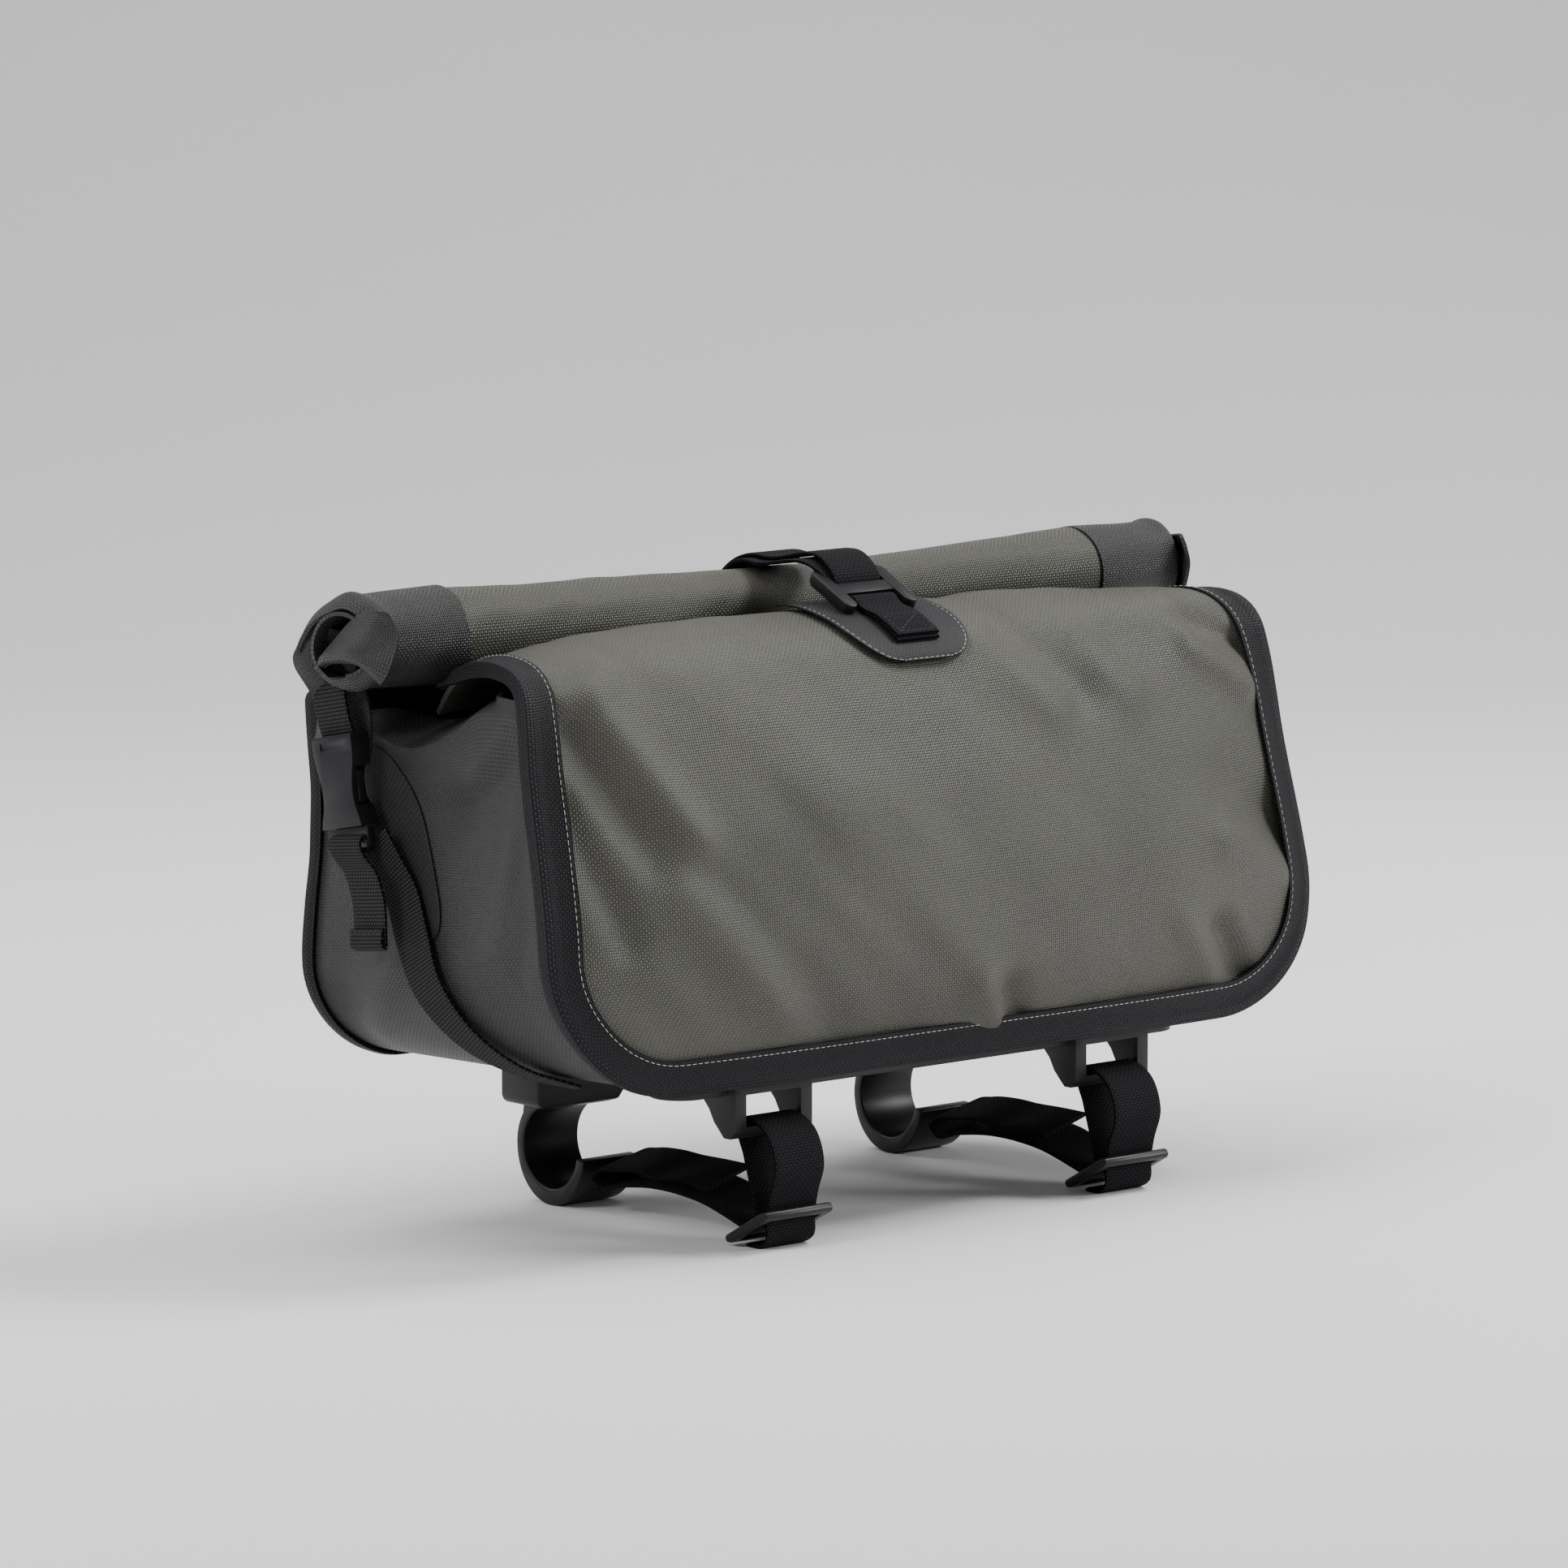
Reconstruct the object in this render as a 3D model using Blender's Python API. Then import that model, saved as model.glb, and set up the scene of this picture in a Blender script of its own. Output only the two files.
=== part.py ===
"""Rack trunk bag with a rolled top, standing on two rear hooks and two front webbing loops.

Sizes are in millimetres and turned into metres when a mesh is made.
X runs along the bag, the front faces -Y, and Z is up from the floor.
"""
import math

import bmesh
import bpy
import numpy as np

MM = 0.001

# Driving sizes of the bag
BODY_LENGTH = 402.0
BODY_DEPTH = 156.0
BASE_Z = 67.0
SHOULDER_RISE = 170.0
FRONT_CORNER = 57.0
BACK_CORNER = 38.0
WALL = 2.0
GAP = 0.35
BINDING_WIDTH = 12.5
BINDING_LIP = 4.0
BINDING_THICK = 1.2
BINDING_CLEAR = GAP * 1.8
BASE_LENGTH = 270.0

# The roll
ROLL_LENGTH = 440.0
ROLL_SEAM_X = 169.0
ROLL_RADIUS = 22.0
ROLL_WAIST = 17.5
ROLL_TOP = 19.0
ROLL_DEPTH_SHARE = 0.737
ROLL_SLANT = 6.0
ROLL_WALL = 2.6
ROLL_START = -8.0
ROLL_TURNS = 1.75
ROLL_STEPS = 33
ROLL_PITCH = 6.0
FLAP_TO = 300.0
FLAP_BLEND = 60.0

# Webbing
WIDE_WEB = 25.0
NARROW_WEB = 20.0
WEB_THICK = 1.6

# Hard parts under the base
MOUNT_SPREAD = 90.3
RAIL_LENGTH = BASE_LENGTH
REAR_RAIL_LENGTH = 240.0
RAIL_WIDTH = 24.0
RAIL_THICK = 7.0
FRONT_RAIL_SETBACK = 24.0
HOOK_BORE = 33.0
HOOK_WALL = 4.6
HOOK_FOOT = 2.2
HOOK_WIDTH = 28.5
HOOK_FROM_BACK = 29.5
BRACKET_WIDTH = 40.0
BRACKET_DEPTH = 13.0
BRACKET_DROP = 17.0
BRACKET_SLOT = 28.0
BRACKET_PROUD = 6.0
BRACKET_BAR = 5.0
BRACKET_PLATE = 7.0
BRACKET_HEEL = 6.0
BRACKET_LEG = 9.0
CUT_PAST = 1.0
LOCK_WIDTH = 35.0
LOCK_LENGTH = 27.0
LOCK_THICK = 4.0
LOCK_TILT = math.radians(29.0)
LOCK_AHEAD = 3.0
LOCK_CLEAR = 0.4
LOCK_FRONT_SLOT = (3.0, 9.0)
LOCK_BACK_SLOT = (10.0, 4.5)
LOCK_SLOT_CLEAR = 0.8

# Buckles
BUCKLE_WIDTH = 25.0
BUCKLE_LENGTH = 36.0
BUCKLE_THICK = 9.0
BUCKLE_OFF_BODY = 2.6
BUCKLE_BEHIND_ROLL = 10.0
BUCKLE_DROP = 56.5
MALE_LENGTH = 11.0
MALE_TONGUE = 7.0
MALE_SLOT_MIDDLE = 8.0
SLOT_CLEAR = 0.5
HOOK_BUCKLE_WIDTH = 38.0
HOOK_BUCKLE_LENGTH = 27.0
HOOK_BUCKLE_BAR = 6.0

REAR_PAD_DROP = 25.0
REAR_PAD_LENGTH = 46.0
HOOK_OPEN_FROM = 100.0
HOOK_OPEN_TO = 188.0

HALF = BODY_LENGTH / 2
BODY_FRONT = -62.0
BODY_BACK = BODY_FRONT + BODY_DEPTH
SHOULDER_Z = BASE_Z + SHOULDER_RISE
ROLL_Y = BODY_FRONT + BODY_DEPTH * ROLL_DEPTH_SHARE
ROLL_Z = SHOULDER_Z + ROLL_TOP - ROLL_RADIUS
HOOK_Y = BODY_BACK - HOOK_FROM_BACK
HOOK_OUTER = HOOK_BORE / 2 + HOOK_WALL
HOOK_Z = HOOK_OUTER + HOOK_FOOT
RAIL_TOP = BASE_Z - GAP
RAIL_BOTTOM = RAIL_TOP - RAIL_THICK
FRONT_RAIL_Y = BODY_FRONT + FRONT_RAIL_SETBACK
BRACKET_FRONT = FRONT_RAIL_Y - RAIL_WIDTH / 2 - BRACKET_PROUD
LOCK_Y = BRACKET_FRONT - LOCK_AHEAD
LOCK_Z = LOCK_LENGTH / 2 * math.sin(LOCK_TILT) + LOCK_THICK / 2 * math.cos(LOCK_TILT) + LOCK_CLEAR
BUCKLE_X = HALF + BUCKLE_OFF_BODY + BUCKLE_THICK / 2
BUCKLE_Y = ROLL_Y + BUCKLE_BEHIND_ROLL
BUCKLE_Z = SHOULDER_Z - BUCKLE_DROP
BUCKLE_TILT = math.radians(11.0)

# Outline seen from the front: height share of the shoulder, half length share of HALF
OUTLINE = (
    (0.00, 1.000),
    (0.22, 1.000),
    (0.40, 0.990),
    (0.60, 0.980),
    (0.80, 0.972),
    (0.92, 0.960),
    (1.00, 0.945),
)

# Front panel: share of SHOULDER_RISE for z, share of BODY_DEPTH back from the front for y,
# first along the side edge, then down the middle
FRONT = (
    # edge z, edge y, middle z, middle y
    (0.000, 0.012, 0.000, 0.000),
    (0.080, 0.018, 0.075, -0.030),
    (0.160, 0.032, 0.160, -0.048),
    (0.235, 0.050, 0.245, -0.050),
    (0.375, 0.076, 0.370, -0.036),
    (0.475, 0.100, 0.485, -0.010),
    (0.640, 0.144, 0.620, 0.030),
    (0.740, 0.166, 0.740, 0.082),
    (0.830, 0.184, 0.850, 0.140),
    (0.905, 0.208, 0.925, 0.210),
    (0.945, 0.255, 0.975, 0.310),
    (0.960, 0.330, 1.000, 0.420),
    (0.952, 0.425, 1.003, 0.500),
    (0.930, 0.510, 0.985, 0.570),
    (0.890, 0.580, 0.930, 0.615),
    (0.830, 0.650, 0.850, 0.660),
)

# Back edge of the gussets: height share of SHOULDER_RISE, depth share of BODY_DEPTH
BACK_EDGE = (
    (0.00, 0.960),
    (0.08, 0.985),
    (0.22, 1.010),
    (0.35, 1.010),
    (0.50, 1.000),
    (0.62, 1.006),
    (0.76, 1.028),
    (0.87, 1.050),
)

# Gusset tuck under the roll: the fold reaches inwards by its share of TUCK_DEPTH,
# from the height share of its lip to the height share of its inner end
TUCK_DEPTH = 27.0
TUCK = (
    # depth share, fold share, lip height, inner height
    (0.00, 0.00, 0.860, 0.895),
    (0.12, 0.05, 0.860, 0.900),
    (0.22, 0.75, 0.850, 0.905),
    (0.35, 1.00, 0.800, 0.880),
    (0.50, 1.00, 0.755, 0.820),
    (0.65, 0.95, 0.755, 0.800),
    (0.80, 0.55, 0.785, 0.820),
    (0.92, 0.10, 0.765, 0.795),
    (1.00, 0.00, 0.755, 0.775),
)

# Outer flap at the open end of the roll: angle in degrees from +Y, radius share of ROLL_RADIUS
ROLL_END = (
    (-150.0, 0.90),
    (-110.0, 0.86),
    (-60.0, 1.02),
    (-20.0, 1.42),
    (15.0, 1.10),
    (50.0, 0.92),
    (85.0, 0.94),
    (120.0, 0.98),
    (160.0, 1.02),
    (210.0, 0.90),
)


def column(table, index):
    """One column of a table as a list."""
    return [row[index] for row in table]


def smooth(xs, ys, x):
    """Smooth curve through the points (xs, ys), flat beyond its ends."""
    xs = np.asarray(xs, float)
    ys = np.asarray(ys, float)
    slope = np.gradient(ys, xs)
    x = np.clip(x, xs[0], xs[-1])
    i = np.clip(np.searchsorted(xs, x) - 1, 0, len(xs) - 2)
    h = xs[i + 1] - xs[i]
    t = (x - xs[i]) / h
    a = (1 + 2 * t) * (1 - t) ** 2 * ys[i] + t * (1 - t) ** 2 * h * slope[i]
    b = t * t * (3 - 2 * t) * ys[i + 1] + t * t * (t - 1) * h * slope[i + 1]
    return a + b


def through(points, count, values=None):
    """Points at even steps along a smooth curve through the given points, or values carried by them."""
    pts = np.asarray(points, float)
    steps = np.linalg.norm(np.diff(pts, axis=0), axis=1)
    along = np.concatenate([[0.0], np.cumsum(steps)])
    at = np.linspace(0.0, along[-1], count)
    read = pts if values is None else np.asarray(values, float)
    return np.stack([smooth(along, read[:, k], at) for k in range(3)], axis=1)


def rows(table, index, count):
    """A table column read smoothly at an even count of rows."""
    at = np.linspace(0.0, len(table) - 1.0, count)
    return smooth(range(len(table)), column(table, index), at)


def material(name, colour, roughness, metallic=0.0):
    """Principled material for one kind of surface."""
    mat = bpy.data.materials.new(name)
    mat.use_nodes = True
    shader = mat.node_tree.nodes["Principled BSDF"]
    shader.inputs["Base Color"].default_value = (*colour, 1.0)
    shader.inputs["Roughness"].default_value = roughness
    shader.inputs["Metallic"].default_value = metallic
    mat.diffuse_color = (*colour, 1.0)
    return mat


def mesh_object(name, verts, faces, mat):
    """One closed piece from millimetre points."""
    mesh = bpy.data.meshes.new(name)
    mesh.from_pydata([tuple(float(c) * MM for c in v) for v in verts], [], faces)
    bm = bmesh.new()
    bm.from_mesh(mesh)
    bmesh.ops.recalc_face_normals(bm, faces=bm.faces)
    bm.to_mesh(mesh)
    bm.free()
    mesh.materials.append(mat)
    piece = bpy.data.objects.new(name, mesh)
    bpy.context.collection.objects.link(piece)
    mesh.shade_smooth()
    mesh.set_sharp_from_angle(angle=math.radians(35.0))
    return piece


def normals(grid):
    """Unit normals of a grid of points."""
    du = np.gradient(grid, axis=0)
    dv = np.gradient(grid, axis=1)
    n = np.cross(du, dv)
    return n / np.maximum(np.linalg.norm(n, axis=2, keepdims=True), 1e-9)


def sheet(name, grid, thick, mat):
    """Closed wall between a grid and its copy, moved by thick along the grid's normals."""
    grid = np.asarray(grid, float)
    n, m = grid.shape[:2]
    far = grid + normals(grid) * thick
    verts = np.concatenate([grid.reshape(-1, 3), far.reshape(-1, 3)])
    size = n * m
    faces = []
    for i in range(n - 1):
        for j in range(m - 1):
            a = i * m + j
            faces.append((a, a + 1, a + m + 1, a + m))
            faces.append((size + a, size + a + m, size + a + m + 1, size + a + 1))
    for i in range(n - 1):
        for j in (0, m - 1):
            a = i * m + j
            faces.append((a, a + m, size + a + m, size + a))
    for j in range(m - 1):
        for i in (0, n - 1):
            a = i * m + j
            faces.append((a, a + 1, size + a + 1, size + a))
    return mesh_object(name, verts, faces, mat)


def strap(name, path, width, across, mat, thick=WEB_THICK, count=16):
    """Flat webbing along a path; across is its width direction, one vector or one per path point."""
    line = through(path, count)
    side = np.asarray(across, float)
    if side.ndim == 1:
        side = np.tile(side, (len(path), 1))
    side = through(path, count, side)
    side /= np.linalg.norm(side, axis=1, keepdims=True)
    grid = np.stack([line - side * width / 2, line + side * width / 2], axis=1)
    mid = normals(grid) * thick / 2
    return sheet(name, grid - mid, thick, mat)


def prism(name, outline, low, high, axis, mat, bevel=0.0, cut=None):
    """Solid with an outline swept along X or Y between low and high; cut is a box to remove."""
    verts = []
    for level in (low, high):
        for a, b in outline:
            verts.append((level, a, b) if axis == "X" else (a, level, b))
    n = len(outline)
    faces = [tuple(range(n)), tuple(range(n, 2 * n))]
    for i in range(n):
        j = (i + 1) % n
        faces.append((i, j, n + j, n + i))
    piece = mesh_object(name, verts, faces, mat)
    if bevel:
        edge = piece.modifiers.new("edge", "BEVEL")
        edge.width = bevel * MM
        edge.segments = 1
        edge.limit_method = "ANGLE"
        edge.angle_limit = math.radians(50.0)
    for number, hole in enumerate(cut or ()):
        subtract(piece, hole, f"{name}.cut{number}")
    return piece


def box_mesh(name, low, high, mat=None):
    """Plain box between two corners, in millimetres."""
    verts = [(x, y, z) for x in (low[0], high[0]) for y in (low[1], high[1]) for z in (low[2], high[2])]
    faces = [(0, 1, 3, 2), (4, 6, 7, 5), (0, 4, 5, 1), (2, 3, 7, 6), (0, 2, 6, 4), (1, 5, 7, 3)]
    return mesh_object(name, verts, faces, mat)


def subtract(piece, hole, name):
    """Cut a box-shaped hole, given by its two corners, out of a piece."""
    cutter = box_mesh(name, hole[0], hole[1])
    cutter.hide_render = True
    cutter.display_type = "WIRE"
    cutter.parent = piece
    cut = piece.modifiers.new("hole", "BOOLEAN")
    cut.operation = "DIFFERENCE"
    cut.object = cutter


def half_length(z_share, corner):
    """Half length of the body at a share of the shoulder height, above a round bottom corner."""
    flat = HALF * smooth(column(OUTLINE, 0), column(OUTLINE, 1), z_share)
    rise = np.asarray(z_share) * SHOULDER_RISE
    lift = np.clip(1.0 - rise / corner, 0.0, 1.0)
    return flat - corner * (1.0 - np.sqrt(1.0 - lift ** 2))


def corner_radius(depth):
    """Radius of the bottom corner at a share of the body's depth, larger at the front."""
    return FRONT_CORNER + (BACK_CORNER - FRONT_CORNER) * np.clip(depth, 0.0, 1.0)


def front_edge_y(z_share):
    """Y of the front corner line at a height share, read from the same curve as the front panel."""
    heights = rows(FRONT, 0, 301)
    top = int(np.argmax(heights))
    return BODY_FRONT + BODY_DEPTH * np.interp(z_share, heights[:top], rows(FRONT, 1, 301)[:top])


def back_edge_y(z_share):
    """Y of the back corner line at a height share."""
    return BODY_FRONT + BODY_DEPTH * smooth(column(BACK_EDGE, 0), column(BACK_EDGE, 1), z_share)


FRONT_ROWS = 23
FRONT_COLUMNS = 15
BACK_ROWS = 18
BACK_COLUMNS = 13
CORNER_STEPS = 7


def front_point(along, x_share):
    """Point of the front panel at shares along its profile and across its width."""
    index = np.asarray(along, float) * (len(FRONT) - 1)
    read = [smooth(range(len(FRONT)), column(FRONT, k), index) for k in range(4)]
    edge_z, edge_y, mid_z, mid_y = read
    crown = 1.0 - np.abs(x_share) ** 4
    peak = float(np.argmax(column(FRONT, 0)))
    lean = np.clip((index - peak) / (len(FRONT) - 1 - peak), 0.0, 1.0)
    mouth = ROLL_SEAM_X + BINDING_WIDTH
    half = half_length(edge_z, FRONT_CORNER)
    half = half + (mouth - half) * lean
    x = x_share * half
    y = BODY_FRONT + BODY_DEPTH * (edge_y + (mid_y - edge_y) * crown)
    z = BASE_Z + SHOULDER_RISE * (edge_z + (mid_z - edge_z) * crown)
    return np.stack(np.broadcast_arrays(x, y, z), axis=-1)


def panel_grid(point, count, columns):
    """Grid of a panel's points, with closer columns near its two sides."""
    across = np.sin(np.linspace(-1.0, 1.0, columns) * math.pi / 2)
    along = np.linspace(0.0, 1.0, count)
    return np.stack([point(share, across) for share in along])


def front_panel(mat):
    """Olive front cloth."""
    return sheet("front_panel", panel_grid(front_point, FRONT_ROWS, FRONT_COLUMNS), WALL, mat)


def roll_radius(x):
    """Outer radius of the roll at X, slimmer at the waist under the strap."""
    share = np.clip(np.abs(x) / ROLL_SEAM_X, 0.0, 1.0)
    return ROLL_WAIST + (ROLL_RADIUS - ROLL_WAIST) * share ** 1.5


def flap_share(x):
    """How far the open end's flap is formed at X, from 0 at the seam to 1 at the end."""
    return np.clip((np.abs(x) - ROLL_SEAM_X) / (ROLL_LENGTH / 2 - ROLL_SEAM_X), 0.0, 1.0)


def flap_radius(angle, x):
    """Outer radius of the roll at an angle in degrees from +Y, with the open end's flap."""
    wrapped = (np.asarray(angle) + 150.0) % 360.0 - 150.0
    shape = smooth(column(ROLL_END, 0), column(ROLL_END, 1), wrapped)
    return roll_radius(x) * (1.0 + (shape - 1.0) * flap_share(x))


BACK_BELLY = (
    # height share, how far the middle stands back from the edge as a share of BODY_DEPTH
    (0.00, 0.000),
    (0.30, 0.035),
    (0.60, 0.030),
    (0.82, -0.070),
)
BACK_TOP = (ROLL_Z - ROLL_RADIUS * 0.15 - 0.6 - BASE_Z) / SHOULDER_RISE
BACK_LEAN_FROM = 0.83


def back_point(along, x_share):
    """Point of the back panel: up the back edge line, then forwards to the roll's outer layer."""
    share = np.asarray(along, float) * BACK_TOP
    crown = 1.0 - np.abs(x_share) ** 3
    belly = smooth(column(BACK_BELLY, 0), column(BACK_BELLY, 1), share)
    lean = np.clip((share - BACK_LEAN_FROM) / (BACK_TOP - BACK_LEAN_FROM), 0.0, 1.0)
    half = half_length(share, BACK_CORNER)
    half = half + (ROLL_SEAM_X + BINDING_WIDTH - half) * lean
    x = x_share * half
    y = back_edge_y(np.minimum(share, BACK_LEAN_FROM)) + BODY_DEPTH * belly * crown
    reach = ROLL_Y + flap_radius(ROLL_START, x) * math.cos(math.radians(ROLL_START))
    y = y + (reach - y) * lean ** 1.15
    return np.stack(np.broadcast_arrays(x, y, BASE_Z + SHOULDER_RISE * share), axis=-1)


def back_panel(mat):
    """Olive back cloth."""
    return sheet("back_panel", panel_grid(back_point, BACK_ROWS, BACK_COLUMNS), -WALL, mat)


def gusset_row(side, depth, share, inward):
    """One row of a gusset across the bag's depth, moved inwards."""
    front = front_edge_y(share) + (WALL + GAP) * (1.0 + 0.6 * np.clip((share - 0.8) / 0.1, 0.0, 1.0))
    back = back_edge_y(share) - (WALL + GAP) * (1.0 + 0.8 * np.clip((share - 0.68) / 0.08, 0.0, 1.0))
    y = front + (back - front) * depth
    x = half_length(share, corner_radius(depth)) - inward + gusset_swell(share, depth)
    return np.stack([side * x, y, BASE_Z + SHOULDER_RISE * share], axis=1)


def gusset_swell(share, depth):
    """How far the gusset stands out between its two seams: full below, drawn in above."""
    return 3.0 * np.sin(math.pi * depth) * np.minimum(1.0, share / 0.3) * np.clip(0.5 - share, -0.2, 0.5)


WALL_TOP = 0.70
TUCK_STEPS = (
    # share inwards, share of the rise from the lip to the inner end
    (1.00, 1.00),
    (0.75, 0.72),
    (0.30, 0.35),
    (0.06, 0.08),
)


def end_panel(name, side, mat, count=7, columns=11):
    """Dark gusset on one end: side wall, tucked fold near the top, and the bottom corner."""
    depth = np.linspace(0.0, 1.0, columns)
    corner = corner_radius(depth) / SHOULDER_RISE
    fold = smooth(column(TUCK, 0), column(TUCK, 1), depth) * TUCK_DEPTH
    lip = smooth(column(TUCK, 0), column(TUCK, 2), depth)
    inner = smooth(column(TUCK, 0), column(TUCK, 3), depth)
    grid = []
    for inward, rise in TUCK_STEPS:
        grid.append(gusset_row(side, depth, lip + (inner - lip) * rise, fold * inward))
    for rise in (0.85, 0.4):
        grid.append(gusset_row(side, depth, WALL_TOP + (lip - WALL_TOP) * rise, 0.0))
    for drop in np.linspace(0.0, 1.0, count):
        grid.append(gusset_row(side, depth, WALL_TOP + (corner - WALL_TOP) * drop, 0.0))
    for turn in np.linspace(0.0, math.pi / 2, CORNER_STEPS)[1:]:
        grid.append(gusset_row(side, depth, corner * (1.0 - math.sin(turn)), 0.0))
    front = front_edge_y(0.0) + WALL + GAP
    back = back_edge_y(0.0) - WALL - GAP
    last = grid[-1][:, 0]
    for share in (0.5, 1.0):
        x = last + (side * (BASE_LENGTH / 2 + GAP) - last) * share
        grid.append(np.stack([x, front + (back - front) * depth, np.full(columns, BASE_Z)], axis=1))
    return sheet(name, grid, -side * WALL, mat)


def base_panel(mat):
    """Dark bottom cloth between the gussets."""
    front = front_edge_y(0.0) + WALL + GAP
    back = back_edge_y(0.0) - WALL - GAP
    grid = np.zeros((5, 5, 3))
    for i, y in enumerate(np.linspace(front, back, 5)):
        grid[i, :, 0] = np.linspace(-BASE_LENGTH / 2, BASE_LENGTH / 2, 5)
        grid[i, :, 1] = y
        grid[i, :, 2] = BASE_Z
    return sheet("base_panel", grid, -WALL, mat)


def on_panel(point, x, z):
    """Point of a panel above the place (x, z), for its upright part."""
    along = np.linspace(0.0, 0.62, 120)
    wide = np.maximum(point(along, 1.0)[:, 0], 1.0)
    line = point(along, np.clip(x / wide, -1.0, 1.0))
    order = np.argsort(line[:, 2])
    return np.array([x, np.interp(z, line[order, 2], line[order, 1]), z])


def binding(name, point, out, mat, count, top=1.0):
    """Welded tape round three sides of a panel: a leg on its face and a lip round the corner."""
    radius = FRONT_CORNER if point is front_point else BACK_CORNER
    low = corner_shares(point, radius)
    high = np.linspace(0.0, 1.0, count)[::-1]
    high = high[(high > low[0] + 0.01) & (high < top)]
    along = np.concatenate([[top], high, low])
    left = [(share, -1.0) for share in along]
    bottom = [(0.0, x) for x in np.linspace(-1.0, 1.0, 9)[1:-1]]
    right = [(share, 1.0) for share in along[::-1]]
    edge = np.array([point(share, x) for share, x in left + bottom + right])
    tangent = np.gradient(edge, axis=0)
    tangent /= np.linalg.norm(tangent, axis=1, keepdims=True)
    grid = []
    for (share, x_share), spot, way in zip(left + bottom + right, edge, tangent):
        outward = np.array([way[2] + np.sign(x_share) * way[1] ** 2, 0.0, -way[0]])
        outward /= np.linalg.norm(outward)
        lip = np.cross(way, outward) * -out
        lip /= np.linalg.norm(lip)
        legs = []
        for width in (0.5, 1.0):
            reach = BINDING_WIDTH * width
            if spot[2] - BASE_Z < radius:
                place_xz = spot - outward * reach
                legs.append(on_panel(point, place_xz[0], place_xz[2]))
            else:
                legs.append(point(share, x_share * (1.0 - reach / abs(spot[0]))))
        away = -lip
        if share > 0.6:
            away = panel_at(point, spot[0] * 0.97, share)[1]
        proud = outward * BINDING_CLEAR
        grid.append([
            spot + lip * BINDING_LIP + proud,
            spot + away * BINDING_CLEAR + proud,
            legs[0] + away * BINDING_CLEAR,
            legs[1] + away * BINDING_CLEAR,
        ])
    return sheet(name, grid, -BINDING_THICK * out, mat)


def corner_shares(point, radius):
    """Profile shares at even turns round a panel's bottom corner, from its top down to the seam."""
    along = np.linspace(0.0, 0.45, 200)
    heights = point(along, 1.0)[:, 2] - BASE_Z
    turns = np.linspace(0.0, math.pi / 2, CORNER_STEPS)
    return np.interp(radius * (1.0 - np.sin(turns)), heights, along)


def spiral(xs, steps):
    """Rolled cloth between the given X places: the outer layer comes up from the back."""
    grid = np.zeros((len(xs), steps, 3))
    for i, x in enumerate(xs):
        angle = np.linspace(ROLL_START, ROLL_START + 360.0 * ROLL_TURNS, steps)
        outer = flap_radius(np.minimum(angle, FLAP_TO), x)
        radius = outer - ROLL_PITCH * (angle - ROLL_START) / 360.0
        late = np.clip((angle - FLAP_TO) / FLAP_BLEND, 0.0, 1.0)
        plain = roll_radius(x) - ROLL_PITCH * (angle - ROLL_START) / 360.0
        radius = radius + (plain - radius) * late
        turn = np.radians(angle)
        grid[i, :, 0] = x - np.sign(x) * ROLL_SLANT * flap_share(x) * (1.0 - np.cos(turn)) / 2
        grid[i, :, 1] = ROLL_Y + radius * np.cos(turn)
        grid[i, :, 2] = ROLL_Z + radius * np.sin(turn)
    return grid


def roll_top(mat):
    """Olive middle of the rolled mouth."""
    xs = np.linspace(-ROLL_SEAM_X, ROLL_SEAM_X, 7)
    return sheet("roll_top", spiral(xs, ROLL_STEPS), ROLL_WALL, mat)


def roll_end(name, side, mat):
    """Dark end of the roll, widening into a folded flap."""
    xs = side * np.linspace(ROLL_SEAM_X + GAP, ROLL_LENGTH / 2, 4)
    return sheet(name, spiral(xs, ROLL_STEPS), side * ROLL_WALL, mat)


def panel_at(panel, x, share):
    """Point of a panel at X and at a share of its profile, and the way out from it."""
    half = panel(share, 1.0)[0]
    spots = []
    for d, e in ((-0.01, 0.0), (0.01, 0.0), (0.0, -3.0), (0.0, 3.0)):
        spots.append(panel(share + d, (x + e) / half))
    out = np.cross(spots[3] - spots[2], spots[1] - spots[0])
    if panel is back_point:
        out = -out
    return panel(share, x / half), out / np.linalg.norm(out)


PATCH_WIDTH = 62.0
PATCH_X = 8.5
PATCH_THICK = 0.9
PATCH = (
    # share along the front panel's profile, share of PATCH_WIDTH
    (0.83, 1.00),
    (0.78, 1.00),
    (0.73, 1.00),
    (0.68, 1.00),
    (0.64, 0.97),
    (0.605, 0.86),
    (0.58, 0.66),
    (0.57, 0.40),
)


def centre_patch(mat):
    """Dark patch with a round end, welded on the shoulder under the hook buckle."""
    grid = []
    for share, spread in PATCH:
        line = []
        for across in np.linspace(-0.5, 0.5, 5):
            point, out = panel_at(front_point, PATCH_X + across * PATCH_WIDTH * spread, share)
            line.append(point + out * GAP * 2)
        grid.append(line)
    return sheet("centre_patch", grid, PATCH_THICK, mat)


PATCH_LINE = (
    # height share, centre depth share, half width
    (0.76, 0.80, 9.0),
    (0.73, 0.75, 16.0),
    (0.64, 0.70, 19.0),
    (0.50, 0.63, 19.0),
    (0.40, 0.585, 16.0),
    (0.33, 0.565, 11.0),
    (0.30, 0.56, 5.0),
)


def end_point(side, share, y, out):
    """Point at a height share and Y, out from the gusset's outer face."""
    half = half_length(share, corner_radius((y - BODY_FRONT) / BODY_DEPTH))
    return np.array([side * (half + out), y, BASE_Z + SHOULDER_RISE * share])


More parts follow.
